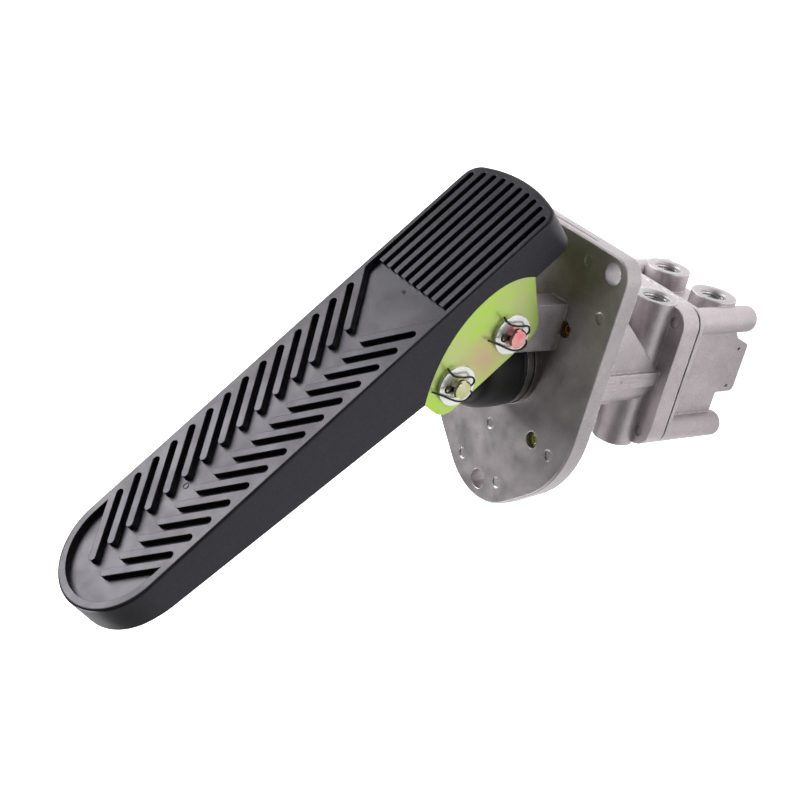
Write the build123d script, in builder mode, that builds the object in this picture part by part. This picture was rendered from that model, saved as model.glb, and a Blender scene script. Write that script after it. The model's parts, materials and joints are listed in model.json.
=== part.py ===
"""Foot-operated brake valve with a long treadle pedal.

The pedal turns on a pin in two lug cheeks of the mounting plate. A roller under it presses the
plunger, which works two valve stages stacked below the plate. Z runs along the valve axis towards
the pedal, X towards the pedal's toe, and the origin is on the valve axis at the plate's face.
"""

import math
import os

from build123d import *

os.makedirs("parts", exist_ok=True)

# Pivot of the pedal, seen from the valve axis and the plate's face
PIVOT_BACK = 31.4
PIVOT_HEIGHT = 35.3
TREAD_ANGLE = 45.5
TREAD_OVER_PIVOT = 39.3

# Treadle
TREAD_WIDTH = 67.4
TOE_REACH = 235.3
HEEL_REACH = 53.9
HEEL_RADIUS = 85.0
HEEL_CORNER = 10.0
TREAD_THICK = 5.7
SKIRT_WALL = 2.2
SKIRT_TOE = 18.2
SKIRT_TOE_LENGTH = 25.7
SKIRT_MID = 33.5
SKIRT_HEEL = 20.5
TREAD_EDGE = 1.4
RIB_THICK = 1.8
RIB_DEPTH = 7.0
RIB_SPACING = 30.0

# Pattern of the treadle: fingers in a herringbone, then straight ribs at the heel
PATTERN_DEPTH = 3.2
BORDER = 4.6
FINGER_COUNT = 15
FINGER_PITCH = 11.34
FINGER_FIRST = 224.6
FINGER_ANGLE = 42.7
FINGER_WIDTH = 3.73
SPINE_HALF = 4.7
STRAIGHT_COUNT = 10
STRAIGHT_PITCH = 6.4
STRAIGHT_WIDTH = 3.2
STRAIGHT_START = 20.3
STRAIGHT_BORDER = 3.9

# Arch of the skirt over the bracket
ARCH_TOE = 54.6
ARCH_HEEL = 24.1
ARCH_TOP = 9.4

# Pedal bracket
EAR_THICK = 3.0
EAR_GAP = 0.2
EAR_DEPTH = 51.2
EAR_CORNER = 9.0
WEB_THICK = 3.0
WEB_SEAT = 1.5
BEND_RADIUS = 3.5
BRACKET_HEEL = 27.5
BRACKET_TOE = 57.0
BRACKET_SCREW_SPREAD = 36.0
BRACKET_SCREW_HEEL = 15.0
BRACKET_SCREW_TOE = 45.0
BRACKET_SCREW_RADIUS = 2.5
BRACKET_SCREW_HEAD = 4.8
BRACKET_SCREW_BITE = 1.2

# Pins, washers, bushes and roller
PIN_RADIUS = 5.0
PIN_FIT = 0.06
PIN_OVERHANG = 4.8
PIN_SPACING = 36.3
WASHER_RADIUS = 10.4
WASHER_THICK = 2.0
SPLIT_RADIUS = 1.25
SPLIT_FIT = 0.05
BUSH_WALL = 1.5
ROLLER_RADIUS = 9.0
ROLLER_WIDTH = 16.0
ROLLER_FACE_GAP = 0.4
SPACER_WALL = 2.5

# Mounting plate with its lug cheeks
PLATE_THICK = 9.8
PLATE_CORNER_BACK = 67.6
PLATE_CORNER_SIDE = 49.9
PLATE_CORNER_RADIUS = 10.8
PLATE_BELLY_FORWARD = 15.6
PLATE_BELLY_RADIUS = 58.8
PLATE_TIP_FORWARD = 45.0
PLATE_TIP_RADIUS = 36.9
PLATE_EDGE = 1.0
MOUNT_HOLE_RADIUS = 5.3
MOUNT_BACK = 69.7
MOUNT_SIDE = 50.7
MOUNT_FORWARD = 72.0
LUG_HALF = 28.0
LUG_THICK = 12.5
LUG_RADIUS = 12.2
PLATE_SCREW_X = 31.2
PLATE_SCREW_Y = 30.4
PLATE_SCREW_RADIUS = 2.5
PLATE_SCREW_HEAD = 4.0
PLATE_SCREW_HEAD_HEIGHT = 4.0
PLATE_SCREW_SINK = 6.5
PLATE_SCREW_BITE = 14.0
PLATE_SCREW_SHORT = 2.0
SCREW_CLEARANCE = 0.3
PLATE_SOCKET = 1.9
SOCKET_RADIUS = 2.6
SOCKET_DEPTH = 2.6
MARK_RADIUS = 2.8
MARK_DEPTH = 0.5
MARKS = [(39.2, -2.1), (65.7, -16.8), (32.4, 44.6), (66.1, 14.3), (-69.1, 32.8), (-46.8, 50.8)]

# Guide collar, plunger and boot
COLLAR_SPIGOT = 19.0
COLLAR_FLANGE = 23.2
COLLAR_FLANGE_THICK = 3.6
COLLAR_NECK = 21.4
COLLAR_RING = 22.7
COLLAR_TOP = 8.4
COLLAR_RING_THICK = 2.6
STEM_RADIUS = 8.0
STEM_FIT = 0.06
PLUNGER_HEAD = 12.0
PLUNGER_HEAD_THICK = 4.6
PLUNGER_FOOT = 17.0
PLUNGER_FOOT_THICK = 3.8
PLUNGER_NOSE = 7.0
RUN_GAP = 0.3
BOOT_WALL = 1.5
BOOT_FOOT_WIDTH = 3.0
BOOT_NECK = 13.4
BOOT_NECK_WIDTH = 3.2
BOOT_FOLDS = [(23.6, 4.0), (23.6, 16.0), (21.0, 24.0), (17.2, 26.0), (19.2, 29.0), (15.4, 33.9)]

# Upper body
UPPER_LENGTH = 76.3
CORE_RADIUS = 28.0
PAD_THICK = 9.0
PAD_MARGIN = 7.8
FLANGE_HALF = 40.2
FLANGE_THICK = 11.4
FLANGE_CORNER = 10.0
UPPER_PORT_SIDE = 19.3
UPPER_PORT_RISE = 15.5
UPPER_PORT_RADIUS = 11.3
UPPER_PORT_REACH = 41.9
PORT_BORE = 7.2
PORT_THREAD_DEPTH = 15.0
PORT_CHAMFER = 1.0
CHANNEL_RADIUS = 4.6
CHANNEL_END = 11.0
CROSS_CHANNEL = 4.0
CROSS_CHANNEL_RISE = 3.0
GUSSET_OUT = 31.4
GUSSET_HEEL_INSET = 4.0
GUSSET_HEEL_DROP = 18.0
GUSSET_TOE = 14.6
GUSSET_TOE_FOOT = 8.0
GUSSET_TOE_RISE = 8.7
GUSSET_BLEND = 5.0
RIB_OUT = 34.0
RIB_HALF = 4.0
SCREW_OFFSET = 32.2

# Lower body
GASKET_THICK = 1.0
GASKET_INSET = 0.5
LOWER_LENGTH = 40.2
LOWER_FLANGE = 2.6
LOWER_HALF_X = 31.0
LOWER_HALF_Y = 32.0
LOWER_CORNER = 4.0
BOSS_RADIUS = 7.2
BOSS_PROUD = 6.1
BOSS_ROUND = 3.0
LOWER_PORT_SIDE = 18.3
LOWER_PORT_RISE = 11.4
LOWER_PORT_RADIUS = 12.5
LOWER_PORT_REACH = 41.0
LOWER_CHANNEL = 3.6
TAB_THICK = 4.0
TAB_LENGTH = 13.5
TAB_FOOT_HEEL = 24.4
TAB_NECK_HEEL = 20.2
TAB_NECK_DROP = 3.4
TAB_TIP_HEEL = 15.8
TAB_TOE = 13.0
TAB_CORNER = 3.0
TAB_SINK = 2.0
TAB_HOLE_RADIUS = 1.1
TAB_HOLE_HEEL = 13.4
TAB_HOLE_TOE = 9.5
TAB_HOLE_DROP = 7.1
BODY_SCREW_RADIUS = 3.0
BODY_SCREW_HEAD = 5.0
BODY_SCREW_HEAD_HEIGHT = 6.0
BODY_SCREW_SINK = 0.6
BODY_SCREW_SHORT = 1.8

# Primary stage, inside the upper body
PRIMARY_BORE = 21.0
BORE_FIT = 0.06
PRIMARY_SPRING_LENGTH = 24.0
PRIMARY_PISTON_THICK = 12.0
PRIMARY_BRIDGE_TOP = 56.5
PRIMARY_BRIDGE_THICK = 7.5
SEAT_LIP = 1.0
SEAT_RADIUS = 8.0
SEAT_LIP_WALL = 1.2
TUBE_RADIUS = 5.0
TUBE_BORE = 2.5
EXHAUST_GAP = 1.3
VALVE_TUBE_SHORT = 2.6
VALVE_CHAMBER = 13.0
VALVE_RADIUS = 11.0
VALVE_THICK = 3.2
VALVE_TUBE = 6.0
VALVE_BORE = 3.0
VALVE_GUIDE_THICK = 9.0

# Relay stage, inside the lower body
RELAY_BORE = 27.0
RELAY_DEPTH = 13.4
RELAY_TOP_GAP = 1.4
RELAY_PISTON_THICK = 5.0
RELAY_BRIDGE_THICK = 6.5
RELAY_EXHAUST_GAP = 1.0
SECOND_TUBE_SHORT = 3.0
GUIDE_BORE = 15.0
GUIDE_DEPTH = 6.6
GUIDE_THICK = 4.0
CLIP_THICK = 1.2
CLIP_WIDTH = 2.2
CLIP_GROOVE = 1.2
CLIP_GAP_ANGLE = 50.0

# Seals and springs
SEAL_RADIUS = 1.05
SEAL_GROOVE_WIDTH = 2.4
SPRING_GAP = 0.3

# Values that follow from the ones above
COS_TREAD = math.cos(math.radians(TREAD_ANGLE))
SIN_TREAD = math.sin(math.radians(TREAD_ANGLE))
HALF = TREAD_WIDTH / 2
TREAD = Plane(
    origin=(-PIVOT_BACK - TREAD_OVER_PIVOT * SIN_TREAD, 0, PIVOT_HEIGHT + TREAD_OVER_PIVOT * COS_TREAD),
    x_dir=(COS_TREAD, 0, SIN_TREAD),
    z_dir=(-SIN_TREAD, 0, COS_TREAD),
)
SIDE = Plane(origin=TREAD.origin, x_dir=TREAD.x_dir, z_dir=(0, -1, 0))
UPRIGHT = Plane(origin=(0, 0, 0), x_dir=(1, 0, 0), z_dir=(0, -1, 0))
ROLLER_X = PIN_SPACING * COS_TREAD - PIVOT_BACK
ROLLER_Z = PIN_SPACING * SIN_TREAD + PIVOT_HEIGHT
EAR_IN = LUG_HALF + EAR_GAP
EAR_OUT = EAR_IN + EAR_THICK
PIN_HALF = EAR_OUT + WASHER_THICK + PIN_OVERHANG
SPLIT_AT = EAR_OUT + WASHER_THICK + PIN_OVERHANG / 2
WEB_TOP = TREAD_THICK + WEB_SEAT
FINGER_SIN = math.sin(math.radians(FINGER_ANGLE))
FINGER_COS = math.cos(math.radians(FINGER_ANGLE))
GROOVE_WIDTH = FINGER_PITCH * FINGER_SIN - FINGER_WIDTH
INNER_HALF = HALF - BORDER
FINGER_LAST = FINGER_FIRST - (FINGER_COUNT - 1) * FINGER_PITCH
UPPER_TOP = -PLATE_THICK
UPPER_END = UPPER_TOP - UPPER_LENGTH
LOWER_TOP = UPPER_END - GASKET_THICK
LOWER_END = LOWER_TOP - LOWER_LENGTH
BOSS_END = LOWER_END - BOSS_PROUD
FLANGE_TOP = UPPER_END + FLANGE_THICK
PAD_BOTTOM = UPPER_TOP - PAD_THICK
UPPER_PORT_Z = UPPER_END + UPPER_PORT_RISE
LOWER_PORT_Z = LOWER_END + LOWER_PORT_RISE
PLUNGER_TOP = ROLLER_Z - ROLLER_RADIUS - RUN_GAP
FOOT_TOP = UPPER_TOP - RUN_GAP
FOOT_BOTTOM = FOOT_TOP - PLUNGER_FOOT_THICK
PISTON_TOP = FOOT_BOTTOM - PRIMARY_SPRING_LENGTH
PISTON_BOTTOM = PISTON_TOP - PRIMARY_PISTON_THICK
BRIDGE_TOP = -PRIMARY_BRIDGE_TOP
BRIDGE_BOTTOM = BRIDGE_TOP - PRIMARY_BRIDGE_THICK
LIP_BOTTOM = BRIDGE_BOTTOM - SEAT_LIP
VALVE_TOP = LIP_BOTTOM - RUN_GAP
VALVE_BOTTOM = VALVE_TOP - VALVE_THICK
GUIDE_TOP = UPPER_END + VALVE_GUIDE_THICK
RELAY_TOP = LOWER_TOP - RELAY_TOP_GAP
RELAY_BOTTOM = RELAY_TOP - RELAY_PISTON_THICK
RELAY_FLOOR = LOWER_TOP - RELAY_DEPTH
RELAY_BRIDGE_BOTTOM = RELAY_FLOOR - RELAY_BRIDGE_THICK
RELAY_LIP_BOTTOM = RELAY_BRIDGE_BOTTOM - SEAT_LIP
SECOND_TOP = RELAY_LIP_BOTTOM - RUN_GAP
SECOND_BOTTOM = SECOND_TOP - VALVE_THICK
EXHAUST_TOP = LOWER_END + GUIDE_DEPTH
EXHAUST_BOTTOM = EXHAUST_TOP - GUIDE_THICK


def save(part, name):
    """Label the finished piece and write it."""
    part.label = name
    export_step(part, f"parts/{name}.step")


def at_height(z):
    return Plane.XY.offset(z)


def on_grid(half_x, half_y):
    return [(x, y) for x in (-half_x, half_x) for y in (-half_y, half_y)]


# Treadle, drawn in its own plane: x along it from above the pivot, y across, z out of the tread
def tread_plan(inset):
    """Plan of the tread: round toe, straight sides, shallow heel with round corners."""
    half = HALF - inset
    toe = TOE_REACH - HALF
    bulge = HEEL_RADIUS - math.sqrt(HEEL_RADIUS**2 - HALF**2)
    heel = HEEL_REACH - inset
    corner = -heel + bulge * half / HALF
    with BuildSketch() as plan:
        with BuildLine():
            ThreePointArc((toe, -half), (toe + half, 0), (toe, half))
            Line((toe, half), (corner, half))
            ThreePointArc((corner, half), (-heel, 0), (corner, -half))
            Line((corner, -half), (toe, -half))
        make_face()
        fillet(plan.vertices().group_by(Axis.X)[0], radius=HEEL_CORNER - inset)
    return plan.sketch


def finger_spots(first, count, reach):
    """Places along both flanks, at a distance across from the centre line, turned to the flank."""
    spots = []
    for side in (-1, 1):
        for step in range(count):
            along = first - step * FINGER_PITCH - reach * FINGER_COS / FINGER_SIN
            spots.append(Location((along, side * reach, 0), (0, 0, side * (180 - FINGER_ANGLE))))
    return spots


def strip(length, width):
    """A bar that starts with a round end at the local origin and runs along local x."""
    with BuildSketch() as bar:
        Circle(width / 2)
        with Locations((length / 2, 0)):
            Rectangle(length, width)
    return bar.sketch


def tread_recess():
    """The sunk part of the tread, between the border, the fingers and the straight ribs."""
    rib_mid = FINGER_FIRST - FINGER_WIDTH / 2 / FINGER_SIN
    gap_mid = rib_mid - FINGER_PITCH / 2
    tip = SPINE_HALF + FINGER_WIDTH / 2
    middle = INNER_HALF * 0.6
    toe = TOE_REACH - HALF
    tail = FINGER_LAST - FINGER_PITCH / 2
    slope = FINGER_COS / FINGER_SIN
    straight_half = (STRAIGHT_COUNT * STRAIGHT_PITCH - STRAIGHT_WIDTH) / 2
    with BuildSketch() as recess:
        with BuildLine():
            Polyline(
                (FINGER_FIRST, 0),
                (FINGER_FIRST - INNER_HALF * slope, -INNER_HALF),
                (toe, -INNER_HALF),
            )
            ThreePointArc((toe, -INNER_HALF), (toe + INNER_HALF, 0), (toe, INNER_HALF))
            Polyline(
                (toe, INNER_HALF),
                (FINGER_FIRST - INNER_HALF * slope, INNER_HALF),
                (FINGER_FIRST, 0),
            )
        make_face()
        with Locations((FINGER_FIRST, 0)):
            Rectangle(FINGER_FIRST - tail + middle * slope, 2 * middle, align=(Align.MAX, Align.CENTER))
        with BuildLine():
            Polyline(
                (STRAIGHT_START, -straight_half),
                (STRAIGHT_START, straight_half),
                (tail - straight_half * slope, straight_half),
                (tail, 0),
                (tail - straight_half * slope, -straight_half),
                close=True,
            )
        make_face()
        with Locations(*finger_spots(rib_mid, FINGER_COUNT, tip)):
            add(strip(2 * INNER_HALF, FINGER_WIDTH), mode=Mode.SUBTRACT)
        ends = finger_spots(gap_mid, FINGER_COUNT - 1, INNER_HALF - GROOVE_WIDTH / 2)
        with Locations(*[spot * Location((0, 0, 0), (0, 0, 180)) for spot in ends]):
            add(strip((INNER_HALF - middle) / FINGER_SIN + GROOVE_WIDTH / 2, GROOVE_WIDTH))
        for step in range(STRAIGHT_COUNT):
            across = (step - (STRAIGHT_COUNT - 1) / 2) * STRAIGHT_PITCH
            bulge = HEEL_RADIUS - math.sqrt(HEEL_RADIUS**2 - across**2)
            corner = max(0.0, abs(across) - (HALF - HEEL_CORNER)) ** 2 / (2 * HEEL_CORNER)
            end = -HEEL_REACH + STRAIGHT_BORDER + STRAIGHT_WIDTH / 2 + bulge + corner
            with Locations((end, across)):
                add(strip(STRAIGHT_START + STRAIGHT_WIDTH - end, STRAIGHT_WIDTH))
    return recess.sketch


def skirt_profile():
    """Side view of the pedal, with the arch over the bracket."""
    top = TREAD_EDGE + 1
    knee = TOE_REACH - SKIRT_TOE_LENGTH
    with BuildSketch() as side:
        with BuildLine():
            Line((TOE_REACH + 1, top), (TOE_REACH + 1, -SKIRT_TOE))
            Line((TOE_REACH + 1, -SKIRT_TOE), (knee, -SKIRT_TOE))
            Line((knee, -SKIRT_TOE), (ARCH_TOE, -SKIRT_MID))
            Spline(
                (ARCH_TOE, -SKIRT_MID),
                (ARCH_TOE * 0.59, -ARCH_TOP - (SKIRT_MID - ARCH_TOP) * 0.30),
                (ARCH_TOE * 0.08, -ARCH_TOP),
                (-ARCH_HEEL * 0.59, -ARCH_TOP - (SKIRT_HEEL - ARCH_TOP) * 0.31),
                (-ARCH_HEEL, -SKIRT_HEEL),
            )
            Line((-ARCH_HEEL, -SKIRT_HEEL), (-HEEL_REACH - 1, -SKIRT_HEEL))
            Line((-HEEL_REACH - 1, -SKIRT_HEEL), (-HEEL_REACH - 1, top))
            Line((-HEEL_REACH - 1, top), (TOE_REACH + 1, top))
        make_face()
    return side.sketch


screw_spots = [
    (along, across)
    for along in (-BRACKET_SCREW_HEEL, BRACKET_SCREW_TOE)
    for across in (-BRACKET_SCREW_SPREAD / 2, BRACKET_SCREW_SPREAD / 2)
]
screw_tip = WEB_TOP - (WEB_SEAT + BRACKET_SCREW_BITE)

with BuildPart() as pedal_tread:
    with BuildSketch(TREAD):
        add(tread_plan(0))
    extrude(amount=-SKIRT_MID)
    fillet(pedal_tread.faces().sort_by(Axis((0, 0, 0), TREAD.z_dir))[-1].edges(), radius=TREAD_EDGE)
    with BuildSketch(TREAD.offset(-TREAD_THICK)):
        add(tread_plan(SKIRT_WALL))
    extrude(amount=-SKIRT_MID, mode=Mode.SUBTRACT)
    # stiffening ribs under the long toe half
    rib_start = BRACKET_TOE + RIB_SPACING / 2
    rib_end = TOE_REACH - HALF
    rib_count = int((rib_end - rib_start) // RIB_SPACING) + 1
    with BuildSketch(TREAD.offset(-TREAD_THICK)):
        for step in range(rib_count):
            with Locations((rib_start + step * RIB_SPACING, 0)):
                Rectangle(RIB_THICK, TREAD_WIDTH - SKIRT_WALL)
        with Locations(((rib_start + TOE_REACH) / 2, 0)):
            Rectangle(TOE_REACH - rib_start - SKIRT_WALL, RIB_THICK)
    extrude(amount=-RIB_DEPTH)
    # seats for the bracket screws
    with BuildSketch(TREAD.offset(-TREAD_THICK)):
        with Locations(*screw_spots):
            Circle(BRACKET_SCREW_HEAD + 1)
    extrude(amount=-WEB_SEAT)
    with BuildSketch(TREAD.offset(-screw_tip)):
        with Locations(*screw_spots):
            Circle(BRACKET_SCREW_RADIUS)
    extrude(amount=-WEB_TOP, mode=Mode.SUBTRACT)
    with BuildSketch(SIDE):
        add(skirt_profile())
    extrude(amount=TREAD_WIDTH, both=True, mode=Mode.INTERSECT)
    with BuildSketch(TREAD):
        add(tread_recess())
    extrude(amount=-PATTERN_DEPTH, mode=Mode.SUBTRACT)
save(pedal_tread.part, "pedal_tread")


# Pedal bracket: a bent sheet, two lens-shaped ears on a web
def ear_outline():
    """One ear in side view, with its pointed heel tip and round lower corners."""
    with BuildSketch() as ear:
        with BuildLine():
            Polyline(
                (-BRACKET_HEEL, -WEB_TOP),
                (-BRACKET_HEEL, -WEB_TOP - WEB_THICK),
                (-ARCH_HEEL - 1, -SKIRT_HEEL - 0.5),
                (-ARCH_HEEL + 10.8, -EAR_DEPTH),
                (ARCH_TOE - 3.6, -EAR_DEPTH),
                (BRACKET_TOE - 1, -SKIRT_MID + 6),
                (BRACKET_TOE, -WEB_TOP),
                close=True,
            )
        make_face()
        fillet(ear.vertices().group_by(Axis.Y)[0], radius=EAR_CORNER)
    return ear.sketch


with BuildPart() as pedal_bracket:
    with BuildSketch(SIDE):
        add(ear_outline())
    extrude(amount=EAR_OUT, both=True)
    bends = [
        edge
        for edge in pedal_bracket.edges().filter_by(GeomType.LINE)
        if abs(TREAD.to_local_coords(edge.center()).Z + WEB_TOP) < 0.01
        and abs(abs(edge.center().Y) - EAR_OUT) < 0.01
    ]
    fillet(bends, radius=BEND_RADIUS)
    with BuildSketch(TREAD.offset(-WEB_TOP - WEB_THICK)):
        with Locations(((BRACKET_TOE - BRACKET_HEEL) / 2, 0)):
            Rectangle(2 * (BRACKET_TOE + BRACKET_HEEL), 2 * EAR_IN)
    extrude(amount=-EAR_DEPTH, mode=Mode.SUBTRACT)
    with BuildSketch(TREAD.offset(-WEB_TOP)):
        with Locations(*screw_spots):
            Circle(BRACKET_SCREW_RADIUS + SCREW_CLEARANCE)
        with Locations(((BRACKET_SCREW_TOE - BRACKET_SCREW_HEEL) / 2, 0)):
            Circle(BRACKET_SCREW_SPREAD / 3)
    extrude(amount=-WEB_THICK, mode=Mode.SUBTRACT)
    with BuildSketch(SIDE):
        with Locations((0, -TREAD_OVER_PIVOT), (PIN_SPACING, -TREAD_OVER_PIVOT)):
            Circle(PIN_RADIUS)
    extrude(amount=2 * EAR_OUT, both=True, mode=Mode.SUBTRACT)
save(pedal_bracket.part, "pedal_bracket")

with BuildPart() as bracket_screws:
    with BuildSketch(TREAD.offset(-WEB_TOP - WEB_THICK)):
        with Locations(*screw_spots):
            Circle(BRACKET_SCREW_HEAD)
    extrude(amount=-BRACKET_SCREW_RADIUS)
    fillet(bracket_screws.edges().group_by(Axis((0, 0, 0), TREAD.z_dir))[0], radius=1)
    with BuildSketch(TREAD.offset(-WEB_TOP - WEB_THICK)):
        with Locations(*screw_spots):
            Circle(BRACKET_SCREW_RADIUS)
    extrude(amount=WEB_THICK + WEB_SEAT + BRACKET_SCREW_BITE)
save(bracket_screws.part, "bracket_screws")


# Pins across the bracket, with their washers and split pins
def cross_pin(x, z):
    """A plain pin along Y with a cross hole near each end."""
    plane = Plane(origin=(x, 0, z), x_dir=(1, 0, 0), z_dir=(0, -1, 0))
    with BuildPart() as pin:
        with BuildSketch(plane):
            Circle(PIN_RADIUS)
        extrude(amount=PIN_HALF, both=True)
        chamfer(pin.edges(), length=0.8)
        with Locations((x, SPLIT_AT, z), (x, -SPLIT_AT, z)):
            Cylinder(SPLIT_RADIUS + SPLIT_FIT, 4 * PIN_RADIUS, mode=Mode.SUBTRACT)
    return pin.part


pin_centres = [(-PIVOT_BACK, PIVOT_HEIGHT), (ROLLER_X, ROLLER_Z)]
pivot_pin = cross_pin(*pin_centres[0])
save(pivot_pin, "pivot_pin")
roller_pin = cross_pin(*pin_centres[1])
save(roller_pin, "roller_pin")

with BuildPart() as pin_washers:
    for face, way in ((EAR_OUT, -1), (-EAR_OUT, 1)):
        with BuildSketch(Plane(origin=(0, face, 0), x_dir=(1, 0, 0), z_dir=(0, -1, 0))):
            with Locations(*pin_centres):
                Circle(WASHER_RADIUS)
                Circle(PIN_RADIUS + PIN_FIT, mode=Mode.SUBTRACT)
        extrude(amount=way * WASHER_THICK)
save(pin_washers.part, "pin_washers")


def split_pin(x, y, z):
    """Split pin through a cross hole: round eye above the pin, two legs spread below it."""
    leg = SPLIT_RADIUS / 2
    reach = PIN_RADIUS + 1.5
    middle = z + reach + 2 * SPLIT_RADIUS
    with BuildPart() as pin:
        with BuildSketch(Plane(origin=(x, y, z - reach), x_dir=(1, 0, 0), z_dir=(0, 0, 1))):
            Circle(SPLIT_RADIUS)
        extrude(amount=2 * reach)
        with Locations(Location((x, y, middle), (90, 0, 0))):
            Torus(2 * SPLIT_RADIUS, leg)
        for way in (-1, 1):
            start = (x + way * leg, y, z - reach + leg)
            with Locations(Location(start, (0, way * 65, 0))):
                Cylinder(leg, 5 * SPLIT_RADIUS, align=(Align.CENTER, Align.CENTER, Align.MAX))
    return pin.part


with BuildPart() as split_pins:
    for x, z in pin_centres:
        for y in (-SPLIT_AT, SPLIT_AT):
            add(split_pin(x, y, z))
save(split_pins.part, "split_pins")


# Roller between two spacer tubes on the lower pin
def sleeve(x, z, outer, inner, start, end, chamfered=0.0):
    """A tube along Y between two places."""
    with BuildPart() as tube:
        with BuildSketch(Plane(origin=(x, start, z), x_dir=(1, 0, 0), z_dir=(0, 1, 0))):
            Circle(outer)
            Circle(inner, mode=Mode.SUBTRACT)
        extrude(amount=end - start)
        if chamfered:
            chamfer(tube.faces().sort_by(SortBy.AREA).filter_by(GeomType.CYLINDER)[-1].edges(), chamfered)
    return tube.part


roller_half = ROLLER_WIDTH / 2
roller = sleeve(ROLLER_X, ROLLER_Z, ROLLER_RADIUS, PIN_RADIUS + PIN_FIT, -roller_half, roller_half, 1.0)
save(roller, "roller")

with BuildPart() as roller_spacers:
    outer = PIN_RADIUS + SPACER_WALL
    near = roller_half + ROLLER_FACE_GAP
    add(sleeve(ROLLER_X, ROLLER_Z, outer, PIN_RADIUS, near, EAR_IN))
    add(sleeve(ROLLER_X, ROLLER_Z, outer, PIN_RADIUS, -EAR_IN, -near))
save(roller_spacers.part, "roller_spacers")


# Mounting plate: rounded triangle with two lug cheeks
plate_screw_spots = on_grid(PLATE_SCREW_X, PLATE_SCREW_Y)
mount_spots = [(-MOUNT_BACK, -MOUNT_SIDE), (-MOUNT_BACK, MOUNT_SIDE), (MOUNT_FORWARD, 0)]
with BuildPart() as mounting_plate:
    with BuildSketch(at_height(-PLATE_THICK)):
        with Locations(*[(-PLATE_CORNER_BACK, way * PLATE_CORNER_SIDE) for way in (-1, 1)]):
            Circle(PLATE_CORNER_RADIUS)
        with Locations((PLATE_BELLY_FORWARD, 0)):
            Circle(PLATE_BELLY_RADIUS)
        with Locations((PLATE_TIP_FORWARD, 0)):
            Circle(PLATE_TIP_RADIUS)
        make_hull()
    extrude(amount=PLATE_THICK)
    fillet(mounting_plate.faces().sort_by(Axis.Z)[-1].edges(), radius=PLATE_EDGE)
    for start in (-LUG_HALF, LUG_HALF - LUG_THICK):
        with BuildSketch(Plane(origin=(0, start, 0), x_dir=(-1, 0, 0), z_dir=(0, 1, 0))):
            with Locations((PIVOT_BACK, PIVOT_HEIGHT)):
                Circle(LUG_RADIUS)
            with Locations((PIVOT_BACK, -PLATE_THICK / 2)):
                Rectangle(2 * LUG_RADIUS + 1, PLATE_THICK)
            make_hull()
            with Locations((PIVOT_BACK, PIVOT_HEIGHT)):
                Circle(PIN_RADIUS + PIN_FIT + BUSH_WALL, mode=Mode.SUBTRACT)
        extrude(amount=LUG_THICK)
    with BuildSketch():
        with Locations(*mount_spots):
            Circle(MOUNT_HOLE_RADIUS)
        with Locations(*plate_screw_spots):
            Circle(PLATE_SCREW_RADIUS + SCREW_CLEARANCE)
        Circle(COLLAR_SPIGOT)
    extrude(amount=-PLATE_THICK, mode=Mode.SUBTRACT)
    with BuildSketch():
        with Locations(*plate_screw_spots):
            Circle(PLATE_SCREW_HEAD + SCREW_CLEARANCE)
    extrude(amount=-PLATE_SCREW_SINK, mode=Mode.SUBTRACT)
    with BuildSketch():
        with Locations(*MARKS):
            Circle(MARK_RADIUS)
    extrude(amount=-MARK_DEPTH, mode=Mode.SUBTRACT)
save(mounting_plate.part, "mounting_plate")

with BuildPart() as lug_bushes:
    inner = PIN_RADIUS + PIN_FIT
    for start in (-LUG_HALF, LUG_HALF - LUG_THICK):
        add(sleeve(-PIVOT_BACK, PIVOT_HEIGHT, inner + BUSH_WALL, inner, start, start + LUG_THICK))
save(lug_bushes.part, "lug_bushes")


def cap_screws(spots, head_base, head, height, shank, end, socket):
    """Socket-head screws at some spots: the head stands away from the shank's end."""
    way = 1 if head_base > end else -1
    with BuildPart() as screws:
        with BuildSketch(at_height(head_base)):
            with Locations(*spots):
                Circle(head)
        extrude(amount=way * height)
        with BuildSketch(at_height(head_base + way * height)):
            with Locations(*spots):
                RegularPolygon(socket, 6)
        extrude(amount=-way * SOCKET_DEPTH, mode=Mode.SUBTRACT)
        with BuildSketch(at_height(head_base)):
            with Locations(*spots):
                Circle(shank)
        extrude(amount=end - head_base)
    return screws.part


plate_screws = cap_screws(
    plate_screw_spots,
    -PLATE_SCREW_SINK,
    PLATE_SCREW_HEAD,
    PLATE_SCREW_HEAD_HEIGHT,
    PLATE_SCREW_RADIUS,
    UPPER_TOP - PLATE_SCREW_BITE + PLATE_SCREW_SHORT,
    PLATE_SOCKET,
)
save(plate_screws, "plate_screws")


# Pieces turned about the valve axis, drawn as half sections in radius and height
def turned(*points):
    """Revolve a closed half section about the valve axis."""
    with BuildPart() as body:
        with BuildSketch(UPRIGHT):
            with BuildLine():
                Polyline(*points, close=True)
            make_face()
        revolve(axis=Axis.Z)
    return body.part


guide_collar = turned(
    (STEM_RADIUS + STEM_FIT, UPPER_TOP),
    (COLLAR_SPIGOT, UPPER_TOP),
    (COLLAR_SPIGOT, 0),
    (COLLAR_FLANGE, 0),
    (COLLAR_FLANGE, COLLAR_FLANGE_THICK),
    (COLLAR_NECK, COLLAR_FLANGE_THICK),
    (COLLAR_NECK, COLLAR_TOP - COLLAR_RING_THICK),
    (COLLAR_RING, COLLAR_TOP - COLLAR_RING_THICK),
    (COLLAR_RING, COLLAR_TOP),
    (STEM_RADIUS + 3, COLLAR_TOP),
    (STEM_RADIUS + STEM_FIT, COLLAR_TOP - 1),
)
save(guide_collar, "guide_collar")

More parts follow.
